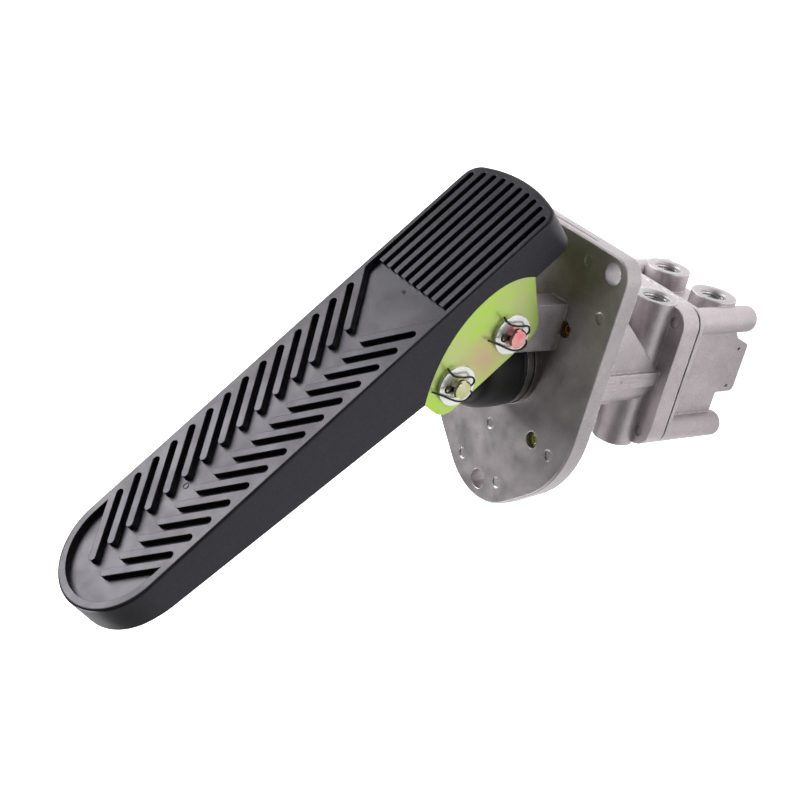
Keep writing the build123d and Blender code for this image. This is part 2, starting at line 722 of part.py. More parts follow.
HEAD_BASE = PLUNGER_TOP - PLUNGER_HEAD_THICK
plunger = turned(
    (0, FOOT_BOTTOM - PLUNGER_NOSE),
    (STEM_RADIUS - 1, FOOT_BOTTOM - PLUNGER_NOSE),
    (STEM_RADIUS, FOOT_BOTTOM - PLUNGER_NOSE + 1),
    (STEM_RADIUS, FOOT_BOTTOM),
    (PLUNGER_FOOT, FOOT_BOTTOM),
    (PLUNGER_FOOT, FOOT_TOP),
    (STEM_RADIUS, FOOT_TOP),
    (STEM_RADIUS, HEAD_BASE - 3),
    (STEM_RADIUS + 2, HEAD_BASE),
    (PLUNGER_HEAD, HEAD_BASE),
    (PLUNGER_HEAD, PLUNGER_TOP - 1),
    (PLUNGER_HEAD - 1, PLUNGER_TOP),
    (0, PLUNGER_TOP),
)
save(plunger, "plunger")

# Rubber boot from the collar's ring to under the plunger's head
boot = turned(
    (COLLAR_RING, COLLAR_TOP + SPRING_GAP),
    *[(radius, COLLAR_TOP + rise) for radius, rise in BOOT_FOLDS],
    (BOOT_NECK, HEAD_BASE - SPRING_GAP),
    (BOOT_NECK - BOOT_NECK_WIDTH, HEAD_BASE - SPRING_GAP),
    *[(radius - BOOT_WALL, COLLAR_TOP + rise) for radius, rise in reversed(BOOT_FOLDS)],
    (COLLAR_RING - BOOT_FOOT_WIDTH, COLLAR_TOP + SPRING_GAP),
)
save(boot, "boot")

# Rubber graduating spring between the plunger's foot and the primary piston
spring_top = FOOT_BOTTOM - SPRING_GAP
spring_foot = PISTON_TOP + SPRING_GAP
spring_waist = (spring_top + spring_foot) / 2
graduating_spring = turned(
    (STEM_RADIUS + 1, spring_top),
    (PLUNGER_FOOT - 1, spring_top),
    (PLUNGER_FOOT - 1, spring_top - 2),
    (PLUNGER_FOOT - 3.5, spring_waist),
    (PLUNGER_FOOT - 1, spring_foot + 2),
    (PLUNGER_FOOT - 1, spring_foot),
    (STEM_RADIUS + 1, spring_foot),
)
save(graduating_spring, "graduating_spring")


# Pistons, each with a seal in its groove and a hollow exhaust tube down to its valve
def piston(bore, top, bottom, tube_end, recess_depth):
    """A grooved piston with a recess under it for its spring."""
    edge = bore - BORE_FIT
    groove = edge - 2 * SEAL_RADIUS
    middle = (top + bottom) / 2
    half = SEAL_GROOVE_WIDTH / 2
    return turned(
        (TUBE_BORE, top),
        (edge, top),
        (edge, middle + half),
        (groove, middle + half),
        (groove, middle - half),
        (edge, middle - half),
        (edge, bottom),
        (bore * 0.78, bottom),
        (bore * 0.78, bottom + recess_depth),
        (TUBE_RADIUS + 2, bottom + recess_depth),
        (TUBE_RADIUS, bottom),
        (TUBE_RADIUS, tube_end),
        (TUBE_BORE, tube_end),
    )


def seal_ring(bore, height):
    with BuildPart() as ring:
        with Locations((0, 0, height)):
            Torus(bore - BORE_FIT - SEAL_RADIUS, SEAL_RADIUS)
    return ring.part


def coil(radius, wire, low, high, turns):
    """A compression spring about the valve axis, between two heights."""
    with BuildPart() as spring:
        with BuildLine() as path:
            Helix(pitch=(high - low - 2 * wire) / turns, height=high - low - 2 * wire, radius=radius,
                  center=(0, 0, low + wire))
        with BuildSketch(Plane(origin=path.line @ 0, z_dir=path.line % 0)):
            RegularPolygon(wire, 6)
        sweep(is_frenet=True)
    return spring.part


PRIMARY_RECESS = PRIMARY_PISTON_THICK / 2
primary_piston = piston(PRIMARY_BORE, PISTON_TOP, PISTON_BOTTOM, VALVE_TOP + EXHAUST_GAP, PRIMARY_RECESS)
save(primary_piston, "primary_piston")
primary_seal = seal_ring(PRIMARY_BORE, (PISTON_TOP + PISTON_BOTTOM) / 2)
save(primary_seal, "primary_seal")
primary_spring = coil(
    PRIMARY_BORE * 0.6,
    0.8,
    BRIDGE_TOP + SPRING_GAP,
    PISTON_BOTTOM + PRIMARY_RECESS - SPRING_GAP,
    3.5,
)
save(primary_spring, "primary_spring")

RELAY_RECESS = RELAY_PISTON_THICK / 4
relay_piston = piston(RELAY_BORE, RELAY_TOP, RELAY_BOTTOM, SECOND_TOP + RELAY_EXHAUST_GAP, RELAY_RECESS)
save(relay_piston, "relay_piston")
relay_seal = seal_ring(RELAY_BORE, (RELAY_TOP + RELAY_BOTTOM) / 2)
save(relay_seal, "relay_seal")
relay_spring = coil(
    RELAY_BORE * 0.6,
    0.7,
    RELAY_FLOOR + SPRING_GAP,
    RELAY_BOTTOM + RELAY_RECESS - SPRING_GAP,
    2.5,
)
save(relay_spring, "relay_spring")


# Double-seat valves and the guides that carry their tubes
def double_valve(top, tube_end):
    return turned(
        (VALVE_BORE, top),
        (VALVE_RADIUS, top),
        (VALVE_RADIUS, top - VALVE_THICK),
        (VALVE_TUBE, top - VALVE_THICK),
        (VALVE_TUBE, tube_end),
        (VALVE_BORE, tube_end),
    )


primary_valve = double_valve(VALVE_TOP, UPPER_END + VALVE_TUBE_SHORT)
save(primary_valve, "primary_valve")
primary_valve_spring = coil(VALVE_RADIUS - 2, 0.6, GUIDE_TOP + SPRING_GAP, VALVE_BOTTOM - SPRING_GAP, 2.5)
save(primary_valve_spring, "primary_valve_spring")
primary_valve_guide = turned(
    (VALVE_TUBE + STEM_FIT, UPPER_END),
    (VALVE_CHAMBER, UPPER_END),
    (VALVE_CHAMBER, GUIDE_TOP - 2),
    (VALVE_RADIUS, GUIDE_TOP),
    (VALVE_TUBE + STEM_FIT, GUIDE_TOP),
)
save(primary_valve_guide, "primary_valve_guide")

relay_valve = double_valve(SECOND_TOP, LOWER_END + SECOND_TUBE_SHORT)
save(relay_valve, "relay_valve")
relay_valve_spring = coil(VALVE_RADIUS - 2, 0.6, EXHAUST_TOP + SPRING_GAP, SECOND_BOTTOM - SPRING_GAP, 2.5)
save(relay_valve_spring, "relay_valve_spring")
exhaust_guide = turned(
    (VALVE_TUBE + STEM_FIT, EXHAUST_BOTTOM),
    (GUIDE_BORE, EXHAUST_BOTTOM),
    (GUIDE_BORE, EXHAUST_TOP),
    (VALVE_TUBE + STEM_FIT, EXHAUST_TOP),
)
save(exhaust_guide, "exhaust_guide")

with BuildPart() as retaining_ring:
    with BuildSketch(at_height(EXHAUST_BOTTOM - CLIP_THICK)):
        Circle(GUIDE_BORE + CLIP_GROOVE - RUN_GAP / 2)
        Circle(GUIDE_BORE + CLIP_GROOVE - CLIP_WIDTH, mode=Mode.SUBTRACT)
        with BuildLine():
            reach = 2 * GUIDE_BORE
            spread = math.radians(CLIP_GAP_ANGLE / 2)
            Polyline(
                (0, 0),
                (reach * math.cos(spread), reach * math.sin(spread)),
                (reach * math.cos(spread), -reach * math.sin(spread)),
                close=True,
            )
        make_face(mode=Mode.SUBTRACT)
    extrude(amount=CLIP_THICK)
save(retaining_ring.part, "retaining_ring")


def port_plane(x):
    """Plane across a port's axis, with Y across and Z up."""
    return Plane(origin=(x, 0, 0), x_dir=(0, 1, 0), z_dir=(1, 0, 0))


# Upper body: round core under the plate, cross port bosses, square flange
with BuildPart() as upper_body:
    with BuildSketch(at_height(UPPER_END)):
        Circle(CORE_RADIUS)
    extrude(amount=UPPER_LENGTH)
    with BuildSketch(at_height(PAD_BOTTOM)):
        RectangleRounded(2 * (PLATE_SCREW_X + PAD_MARGIN), 2 * (PLATE_SCREW_Y + PAD_MARGIN), PAD_MARGIN)
    extrude(amount=PAD_THICK)
    with BuildSketch(at_height(UPPER_END)):
        RectangleRounded(2 * FLANGE_HALF, 2 * FLANGE_HALF, FLANGE_CORNER)
    extrude(amount=FLANGE_THICK)
    with BuildSketch(port_plane(-UPPER_PORT_REACH)):
        with Locations((-UPPER_PORT_SIDE, UPPER_PORT_Z), (UPPER_PORT_SIDE, UPPER_PORT_Z)):
            Circle(UPPER_PORT_RADIUS)
    extrude(amount=2 * UPPER_PORT_REACH)
    # triangular webs and a flat rib on each side, from the pad to the flange
    with BuildSketch(UPRIGHT):
        with BuildLine():
            Polyline(
                (-UPPER_PORT_REACH + GUSSET_HEEL_INSET, PAD_BOTTOM),
                (-UPPER_PORT_REACH + GUSSET_HEEL_INSET, PAD_BOTTOM - GUSSET_HEEL_DROP),
                (-RIB_HALF, FLANGE_TOP),
                (GUSSET_TOE_FOOT, FLANGE_TOP),
                (GUSSET_TOE, FLANGE_TOP + GUSSET_TOE_RISE),
                (GUSSET_TOE, PAD_BOTTOM),
                close=True,
            )
        make_face()
    extrude(amount=GUSSET_OUT, both=True)
    toe_edges = [
        edge
        for edge in upper_body.edges().filter_by(Axis.Z)
        if abs(edge.center().X - GUSSET_TOE) < 0.01 and abs(abs(edge.center().Y) - GUSSET_OUT) < 0.01
    ]
    fillet(toe_edges, radius=GUSSET_BLEND)
    with BuildSketch(UPRIGHT):
        with Locations((0, (PAD_BOTTOM + FLANGE_TOP) / 2)):
            Rectangle(2 * RIB_HALF, PAD_BOTTOM - FLANGE_TOP)
    extrude(amount=RIB_OUT, both=True)
    # spring and piston bore, seat, valve chamber
    with BuildSketch(at_height(UPPER_TOP)):
        Circle(PRIMARY_BORE)
    extrude(amount=BRIDGE_TOP - UPPER_TOP, mode=Mode.SUBTRACT)
    with BuildSketch(at_height(UPPER_END)):
        Circle(VALVE_CHAMBER)
    extrude(amount=BRIDGE_BOTTOM - UPPER_END, mode=Mode.SUBTRACT)
    with BuildSketch(at_height(LIP_BOTTOM)):
        Circle(SEAT_RADIUS + SEAT_LIP_WALL)
    extrude(amount=SEAT_LIP)
    with BuildSketch(at_height(LIP_BOTTOM)):
        Circle(SEAT_RADIUS)
    extrude(amount=BRIDGE_TOP - LIP_BOTTOM, mode=Mode.SUBTRACT)
    # threaded ports towards the heel and the channels behind them
    with BuildSketch(port_plane(-UPPER_PORT_REACH)):
        with Locations((-UPPER_PORT_SIDE, UPPER_PORT_Z), (UPPER_PORT_SIDE, UPPER_PORT_Z)):
            Circle(PORT_BORE + PORT_CHAMFER)
    extrude(amount=PORT_CHAMFER, taper=45, mode=Mode.SUBTRACT)
    with BuildSketch(port_plane(-UPPER_PORT_REACH)):
        with Locations((-UPPER_PORT_SIDE, UPPER_PORT_Z), (UPPER_PORT_SIDE, UPPER_PORT_Z)):
            Circle(PORT_BORE)
    extrude(amount=PORT_THREAD_DEPTH, mode=Mode.SUBTRACT)
    with BuildSketch(port_plane(-UPPER_PORT_REACH)):
        with Locations((-UPPER_PORT_SIDE, UPPER_PORT_Z), (UPPER_PORT_SIDE, UPPER_PORT_Z)):
            Circle(CHANNEL_RADIUS)
    extrude(amount=UPPER_PORT_REACH - CHANNEL_END, mode=Mode.SUBTRACT)
    with BuildSketch(Plane(origin=(0, UPPER_PORT_SIDE, 0), x_dir=(1, 0, 0), z_dir=(0, -1, 0))):
        with Locations((-CHANNEL_END - CHANNEL_RADIUS / 2, UPPER_PORT_Z)):
            Circle(CROSS_CHANNEL)
    extrude(amount=UPPER_PORT_SIDE, mode=Mode.SUBTRACT)
    with BuildSketch(at_height(UPPER_PORT_Z)):
        with Locations((-CHANNEL_END - CHANNEL_RADIUS / 2, -UPPER_PORT_SIDE)):
            Circle(CROSS_CHANNEL)
    extrude(amount=BRIDGE_TOP + CROSS_CHANNEL_RISE - UPPER_PORT_Z, mode=Mode.SUBTRACT)
    # screw holes, from above and through the flange
    with BuildSketch(at_height(UPPER_TOP)):
        with Locations(*plate_screw_spots):
            Circle(PLATE_SCREW_RADIUS)
    extrude(amount=-PLATE_SCREW_BITE, mode=Mode.SUBTRACT)
    with BuildSketch(at_height(UPPER_END)):
        with Locations(*on_grid(SCREW_OFFSET, SCREW_OFFSET)):
            Circle(BODY_SCREW_RADIUS)
    extrude(amount=FLANGE_THICK, mode=Mode.SUBTRACT)
save(upper_body.part, "upper_body")

with BuildPart() as body_gasket:
    with BuildSketch(at_height(LOWER_TOP)):
        side = 2 * (FLANGE_HALF - GASKET_INSET)
        RectangleRounded(side, side, FLANGE_CORNER - GASKET_INSET)
        Circle(RELAY_BORE + 1, mode=Mode.SUBTRACT)
        with Locations(*on_grid(SCREW_OFFSET, SCREW_OFFSET)):
            Circle(BODY_SCREW_RADIUS + SCREW_CLEARANCE, mode=Mode.SUBTRACT)
    extrude(amount=GASKET_THICK)
save(body_gasket.part, "body_gasket")

# Lower body: thin flange, block, four screw bosses, two ports and a flat tab on the near wall
with BuildPart() as lower_body:
    with BuildSketch(at_height(LOWER_TOP)):
        RectangleRounded(2 * FLANGE_HALF, 2 * FLANGE_HALF, FLANGE_CORNER)
    extrude(amount=-LOWER_FLANGE)
    with BuildSketch(at_height(LOWER_TOP)):
        RectangleRounded(2 * LOWER_HALF_X, 2 * LOWER_HALF_Y, LOWER_CORNER)
    extrude(amount=-LOWER_LENGTH)
    with BuildSketch(at_height(LOWER_TOP)):
        with Locations(*on_grid(SCREW_OFFSET, SCREW_OFFSET)):
            Circle(BOSS_RADIUS)
    extrude(amount=BOSS_END - LOWER_TOP)
    fillet(lower_body.edges().group_by(Axis.Z)[0], radius=BOSS_ROUND)
    with BuildSketch(port_plane(-LOWER_PORT_REACH)):
        with Locations((-LOWER_PORT_SIDE, LOWER_PORT_Z), (LOWER_PORT_SIDE, LOWER_PORT_Z)):
            Circle(LOWER_PORT_RADIUS)
    extrude(amount=LOWER_PORT_REACH - CHANNEL_END)
    with BuildSketch(Plane(origin=(0, LOWER_HALF_Y, 0), x_dir=(1, 0, 0), z_dir=(0, -1, 0))) as tab:
        with BuildLine():
            Polyline(
                (-TAB_FOOT_HEEL, LOWER_END + TAB_SINK),
                (-TAB_FOOT_HEEL, LOWER_END),
                (-TAB_NECK_HEEL, LOWER_END - TAB_NECK_DROP),
                (-TAB_TIP_HEEL, LOWER_END - TAB_LENGTH),
                (TAB_TOE, LOWER_END - TAB_LENGTH),
                (TAB_TOE, LOWER_END + TAB_SINK),
                close=True,
            )
        make_face()
        fillet(tab.vertices().group_by(Axis.Y)[0], radius=TAB_CORNER)
        with Locations(*[(x, LOWER_END - TAB_HOLE_DROP) for x in (-TAB_HOLE_HEEL, TAB_HOLE_TOE)]):
            Circle(TAB_HOLE_RADIUS, mode=Mode.SUBTRACT)
    extrude(amount=TAB_THICK)
    # relay bore, seat, valve chamber and the bore for the exhaust guide
    with BuildSketch(at_height(LOWER_TOP)):
        Circle(RELAY_BORE)
    extrude(amount=-RELAY_DEPTH, mode=Mode.SUBTRACT)
    with BuildSketch(at_height(RELAY_BRIDGE_BOTTOM)):
        Circle(VALVE_CHAMBER)
    extrude(amount=EXHAUST_TOP - RELAY_BRIDGE_BOTTOM, mode=Mode.SUBTRACT)
    with BuildSketch(at_height(RELAY_LIP_BOTTOM)):
        Circle(SEAT_RADIUS + SEAT_LIP_WALL)
    extrude(amount=SEAT_LIP)
    with BuildSketch(at_height(RELAY_LIP_BOTTOM)):
        Circle(SEAT_RADIUS)
    extrude(amount=RELAY_FLOOR - RELAY_LIP_BOTTOM, mode=Mode.SUBTRACT)
    with BuildSketch(at_height(EXHAUST_TOP)):
        Circle(GUIDE_BORE)
    extrude(amount=-GUIDE_DEPTH - LOWER_CORNER, mode=Mode.SUBTRACT)
    with BuildSketch(at_height(EXHAUST_BOTTOM)):
        Circle(GUIDE_BORE + CLIP_GROOVE)
    extrude(amount=-CLIP_THICK, mode=Mode.SUBTRACT)
    # ports and channels
    with BuildSketch(port_plane(-LOWER_PORT_REACH)):
        with Locations((-LOWER_PORT_SIDE, LOWER_PORT_Z), (LOWER_PORT_SIDE, LOWER_PORT_Z)):
            Circle(PORT_BORE + PORT_CHAMFER)
    extrude(amount=PORT_CHAMFER, taper=45, mode=Mode.SUBTRACT)
    with BuildSketch(port_plane(-LOWER_PORT_REACH)):
        with Locations((-LOWER_PORT_SIDE, LOWER_PORT_Z), (LOWER_PORT_SIDE, LOWER_PORT_Z)):
            Circle(PORT_BORE)
    extrude(amount=PORT_THREAD_DEPTH, mode=Mode.SUBTRACT)
    with BuildSketch(port_plane(-LOWER_PORT_REACH)):
        with Locations((-LOWER_PORT_SIDE, LOWER_PORT_Z), (LOWER_PORT_SIDE, LOWER_PORT_Z)):
            Circle(LOWER_CHANNEL)
    extrude(amount=LOWER_PORT_REACH - CHANNEL_END - CHANNEL_RADIUS, mode=Mode.SUBTRACT)
    # screw holes with sunk seats for the heads
    with BuildSketch(at_height(BOSS_END)):
        with Locations(*on_grid(SCREW_OFFSET, SCREW_OFFSET)):
            Circle(BODY_SCREW_RADIUS + SCREW_CLEARANCE)
    extrude(amount=LOWER_TOP - BOSS_END, mode=Mode.SUBTRACT)
    with BuildSketch(at_height(BOSS_END)):
        with Locations(*on_grid(SCREW_OFFSET, SCREW_OFFSET)):
            Circle(BODY_SCREW_HEAD + SCREW_CLEARANCE)
    extrude(amount=BODY_SCREW_HEAD_HEIGHT + BODY_SCREW_SINK, mode=Mode.SUBTRACT)
save(lower_body.part, "lower_body")

body_screws = cap_screws(
    on_grid(SCREW_OFFSET, SCREW_OFFSET),
    BOSS_END + BODY_SCREW_SINK + BODY_SCREW_HEAD_HEIGHT,
    BODY_SCREW_HEAD,
    BODY_SCREW_HEAD_HEIGHT,
    BODY_SCREW_RADIUS,
    FLANGE_TOP - BODY_SCREW_SHORT,
    SOCKET_RADIUS,
)
save(body_screws, "body_screws")
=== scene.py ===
# %% [markdown]
# # A foot brake valve, dressed for its portrait
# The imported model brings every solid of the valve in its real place: the long treadle, its bent
# bracket, the cast plate and the two stacked bodies. This lesson adds what a solid can't say by
# itself, which is how each surface was made: moulded, cast, turned, plated or cut with a thread.

import json
import math

import bmesh
import bpy
from mathutils import Matrix, Vector
from mathutils.bvhtree import BVHTree


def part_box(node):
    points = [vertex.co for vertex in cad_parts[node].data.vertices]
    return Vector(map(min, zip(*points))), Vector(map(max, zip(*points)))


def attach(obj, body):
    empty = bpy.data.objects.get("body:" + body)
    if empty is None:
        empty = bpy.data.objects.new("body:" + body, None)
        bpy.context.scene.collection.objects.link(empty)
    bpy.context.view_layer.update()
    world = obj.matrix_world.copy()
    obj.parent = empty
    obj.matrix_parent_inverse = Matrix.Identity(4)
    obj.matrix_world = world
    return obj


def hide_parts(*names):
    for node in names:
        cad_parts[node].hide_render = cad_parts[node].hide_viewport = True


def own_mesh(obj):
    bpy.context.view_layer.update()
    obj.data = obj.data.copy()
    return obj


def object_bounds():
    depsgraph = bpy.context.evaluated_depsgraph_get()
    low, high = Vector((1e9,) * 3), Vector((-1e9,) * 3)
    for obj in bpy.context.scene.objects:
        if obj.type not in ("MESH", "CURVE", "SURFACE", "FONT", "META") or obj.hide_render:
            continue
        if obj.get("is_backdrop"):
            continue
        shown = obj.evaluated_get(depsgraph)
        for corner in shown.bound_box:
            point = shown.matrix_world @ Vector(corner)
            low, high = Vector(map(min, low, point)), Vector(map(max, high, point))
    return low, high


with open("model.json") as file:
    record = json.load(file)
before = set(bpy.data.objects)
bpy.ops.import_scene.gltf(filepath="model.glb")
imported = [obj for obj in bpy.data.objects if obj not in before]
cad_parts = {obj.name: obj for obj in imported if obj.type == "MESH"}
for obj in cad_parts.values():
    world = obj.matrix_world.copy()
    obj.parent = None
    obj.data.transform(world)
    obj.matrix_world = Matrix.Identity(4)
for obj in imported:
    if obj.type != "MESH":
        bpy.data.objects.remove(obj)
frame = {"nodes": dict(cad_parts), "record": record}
cad_low, cad_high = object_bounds()
nodes = frame["nodes"]
print("solids loaded:", len(nodes))

# %% [markdown]
# ## The camera
# The picture was taken from above the heel end, with the camera rolled so that the pedal lies across
# the frame. Three directions say that exactly: right and up in the picture, and back to the lens.
# A matrix made of them places the camera without any angle conventions to get wrong.

# %% Camera at the photograph's view
MM = 0.001
PICTURE = 800
FOCAL_PIXELS = 1428.8
SENSOR = 36.0
camera_spot = Vector((-278.1, 493.1, 476.5)) * MM
to_right = Vector((-0.219976, 0.542640, -0.810649))
to_up = Vector((-0.880570, -0.468047, -0.074357))
to_back = Vector((-0.419771, 0.697476, 0.580792))
camera_data = bpy.data.cameras.new("portrait_camera")
camera_data.sensor_width = SENSOR
camera_data.lens = FOCAL_PIXELS * SENSOR / PICTURE
camera_data.clip_start = 0.05
camera = bpy.data.objects.new("portrait_camera", camera_data)
turn = Matrix((to_right, to_up, to_back)).transposed().to_4x4()
camera.matrix_world = Matrix.Translation(camera_spot) @ turn
bpy.context.scene.collection.objects.link(camera)
bpy.context.scene.camera = camera
print("lens in mm:", round(camera_data.lens, 2))

# %% [markdown]
# ## Helpers for shader nodes
# A material is a small graph. `Graph` keeps the graph of one material together, so that a line of
# this lesson can add a node and wire it in one go. Effects that several finishes share are built
# once as node groups with named inputs and outputs.


# %% A small wrapper round a node tree
class Graph:
    def __init__(self, tree):
        self.tree = tree

    def node(self, kind, **inputs):
        made = self.tree.nodes.new(kind)
        for name, value in inputs.items():
            self.feed(made, name, value)
        return made

    def feed(self, target, name, value):
        key = int(name[1:]) if name[0] == "_" and name[1:].isdigit() else name.replace("_", " ")
        socket = target.inputs[key]
        if isinstance(value, bpy.types.NodeSocket):
            self.tree.links.new(value, socket)
        else:
            socket.default_value = value

    def set(self, target, **attributes):
        for name, value in attributes.items():
            setattr(target, name, value)
        return target

    def maths(self, operation, a, b=0.0, clamp=False):
        made = self.node("ShaderNodeMath", _0=a, _1=b)
        made.operation = operation
        made.use_clamp = clamp
        return made.outputs[0]

    def blend(self, factor, a, b):
        made = self.tree.nodes.new("ShaderNodeMix")
        made.data_type = "RGBA"
        for index, value in ((0, factor), (6, a), (7, b)):
            if isinstance(value, bpy.types.NodeSocket):
                self.tree.links.new(value, made.inputs[index])
            else:
                made.inputs[index].default_value = value
        return made.outputs[2]

    def ramp(self, value, low, high):
        made = self.node("ShaderNodeMapRange", Value=value)
        made.inputs["From Min"].default_value = low
        made.inputs["From Max"].default_value = high
        return made.outputs[0]

    def noise(self, place, scale, detail=3.0, rough=0.55):
        made = self.node("ShaderNodeTexNoise", Scale=scale, Detail=detail, Roughness=rough)
        self.tree.links.new(place, made.inputs["Vector"])
        return made.outputs["Fac"]


def rgb(red, green, blue):
    return (red, green, blue, 1.0)


def new_group(name, inputs, outputs):
    """An empty node group with its sockets: (name, kind, default) and (name, kind)."""
    tree = bpy.data.node_groups.new(name, "ShaderNodeTree")
    for label, kind, default in inputs:
        socket = tree.interface.new_socket(label, in_out="INPUT", socket_type=kind)
        socket.default_value = default
    for label, kind in outputs:
        tree.interface.new_socket(label, in_out="OUTPUT", socket_type=kind)
    graph = Graph(tree)
    entry = tree.nodes.new("NodeGroupInput")
    leave = tree.nodes.new("NodeGroupOutput")
    return graph, entry.outputs, leave


print("helpers ready")

# %% [markdown]
# ## Shared effect: relief
# No real edge is razor sharp and no real surface is perfectly even. This group rounds the shading of
# edges by a chosen radius and lays a grain of a chosen size and depth over the surface. The grain is
# taken from object coordinates, so it sits still on the piece when the pedal moves.

# %% Relief group
FLOAT, COLOUR, VECTOR = "NodeSocketFloat", "NodeSocketColor", "NodeSocketVector"
relief, given, out = new_group(
    "relief",
    [("Edge Radius", FLOAT, 0.0005), ("Grain Scale", FLOAT, 900.0), ("Grain Depth", FLOAT, 0.00002),
     ("Pit Scale", FLOAT, 260.0), ("Pit Depth", FLOAT, 0.00002)],
    [("Normal", VECTOR), ("Height", FLOAT)],
)
place = relief.node("ShaderNodeTexCoord").outputs["Object"]
rounded = relief.node("ShaderNodeBevel", Radius=given["Edge Radius"])
rounded.samples = 6
grain = relief.noise(place, given["Grain Scale"], detail=2.0, rough=0.6)
pits = relief.noise(place, given["Pit Scale"], detail=4.0, rough=0.65)
fine = relief.maths("MULTIPLY", grain, given["Grain Depth"])
coarse = relief.maths("MULTIPLY", pits, given["Pit Depth"])
height = relief.maths("ADD", fine, coarse)
bump = relief.node("ShaderNodeBump", Strength=1.0, Distance=1.0, Height=height, Normal=rounded.outputs[0])
relief.tree.links.new(bump.outputs[0], out.inputs["Normal"])
relief.tree.links.new(height, out.inputs["Height"])
print("relief group:", len(relief.tree.nodes), "nodes")

# %% [markdown]
# ## Shared effect: edge wear and painted edge highlight
# Where two faces meet, plating and castings are rubbed bright and plastic is rubbed pale. The same
# pale edge also stands for a highlight, so it is partly wear and partly painted highlight. The group
# compares the rounded normal with the true one: they differ only near an edge. Noise breaks the
# mask up, because wear is never even.

# %% Edge wear and painted edge highlight group
wear_and_highlight_group, given, out = new_group(
    "edge_wear_and_highlight",
    [("Width", FLOAT, 0.001), ("Amount", FLOAT, 1.0), ("Breakup Scale", FLOAT, 300.0)],
    [("Mask", FLOAT)],
)
place = wear_and_highlight_group.node("ShaderNodeTexCoord").outputs["Object"]
wide = wear_and_highlight_group.node("ShaderNodeBevel", Radius=given["Width"])
wide.samples = 8
true_normal = wear_and_highlight_group.node("ShaderNodeNewGeometry").outputs["Normal"]
closeness = wear_and_highlight_group.tree.nodes.new("ShaderNodeVectorMath")
closeness.operation = "DOT_PRODUCT"
wear_and_highlight_group.tree.links.new(wide.outputs[0], closeness.inputs[0])
wear_and_highlight_group.tree.links.new(true_normal, closeness.inputs[1])
difference = wear_and_highlight_group.maths("SUBTRACT", 1.0, closeness.outputs["Value"])
sharp = wear_and_highlight_group.maths("MULTIPLY", difference, 6.0, clamp=True)
broken = wear_and_highlight_group.ramp(wear_and_highlight_group.noise(place, given["Breakup Scale"], detail=3.0), 0.35, 0.65)
mask = wear_and_highlight_group.maths("MULTIPLY", wear_and_highlight_group.maths("MULTIPLY", sharp, broken), given["Amount"], clamp=True)
wear_and_highlight_group.tree.links.new(mask, out.inputs["Mask"])
print("edge wear group:", len(wear_and_highlight_group.tree.nodes), "nodes")

# %% [markdown]
# ## Shared effect: cloudiness
# Plating, casting skin and moulded plastic all drift between two tones over a few centimetres. The
# group mixes two colours by slow noise and gives the same noise out as a mask for the roughness.

# %% Clouds group
clouds, given, out = new_group(
    "clouds",
    [("Tone", COLOUR, rgb(0.4, 0.4, 0.4)), ("Other Tone", COLOUR, rgb(0.5, 0.5, 0.5)),
     ("Scale", FLOAT, 30.0), ("Sharpness", FLOAT, 0.2)],
    [("Colour", COLOUR), ("Mask", FLOAT)],
)
place = clouds.node("ShaderNodeTexCoord").outputs["Object"]
slow = clouds.noise(place, given["Scale"], detail=4.0, rough=0.6)
low = clouds.maths("SUBTRACT", 0.5, given["Sharpness"])
high = clouds.maths("ADD", 0.5, given["Sharpness"])
spread = clouds.node("ShaderNodeMapRange", Value=slow, From_Min=low, From_Max=high)
mixed = clouds.blend(spread.outputs[0], given["Tone"], given["Other Tone"])
clouds.tree.links.new(mixed, out.inputs["Colour"])
clouds.tree.links.new(spread.outputs[0], out.inputs["Mask"])
print("clouds group:", len(clouds.tree.nodes), "nodes")


# %% A material that uses the groups
def use_group(graph, group, **values):
    made = graph.tree.nodes.new("ShaderNodeGroup")
    made.node_tree = group.tree
    for name, value in values.items():
        graph.feed(made, name, value)
    return made.outputs


def finish_of(name, tone, other, metallic, rough, rough_other, edge, grain, pits, cloud=(30.0, 0.2),
              wear_and_highlight_colour=None, wear_and_highlight_width=0.001, wear_and_highlight_amount=0.6, coat=0.0, specular=0.5):
    """One surface finish: two cloudy tones, rounded edges made pale by wear and by painted highlight, grain and
    pits.
    """
    material = bpy.data.materials.new(name)
    material.use_nodes = True
    graph = Graph(material.node_tree)
    shader = material.node_tree.nodes["Principled BSDF"]
    cloudy = use_group(graph, clouds, Tone=tone, Other_Tone=other, Scale=cloud[0], Sharpness=cloud[1])
    colour = cloudy["Colour"]
    gloss = graph.maths("ADD", graph.maths("MULTIPLY", cloudy["Mask"], rough_other - rough), rough)
    # Pale edges: partly wear, partly painted highlight.
    if wear_and_highlight_colour:
        wear_and_highlight_mask = use_group(graph, wear_and_highlight_group, Width=wear_and_highlight_width, Amount=wear_and_highlight_amount)["Mask"]
        colour = graph.blend(wear_and_highlight_mask, colour, wear_and_highlight_colour)
    graph.feed(shader, "Base Color", colour)
    graph.feed(shader, "Roughness", gloss)
    shader.inputs["Metallic"].default_value = metallic
    shader.inputs["Coat Weight"].default_value = coat
    shader.inputs["Specular IOR Level"].default_value = specular
    surface = use_group(graph, relief, Edge_Radius=edge, Grain_Scale=grain[0], Grain_Depth=grain[1],
                        Pit_Scale=pits[0], Pit_Depth=pits[1])
    graph.feed(shader, "Normal", surface["Normal"])
    return material


print("finish helper ready")

# %% [markdown]
# ## The finishes
# The treadle is glass-filled nylon: near black, with a wide soft sheen. The bracket and the plate's
# screws are steel, zinc plated and passivated yellow-green, with rosy patches where the film is
# thicker. Plate and bodies are die-cast aluminium with a fine, slightly warm grain.

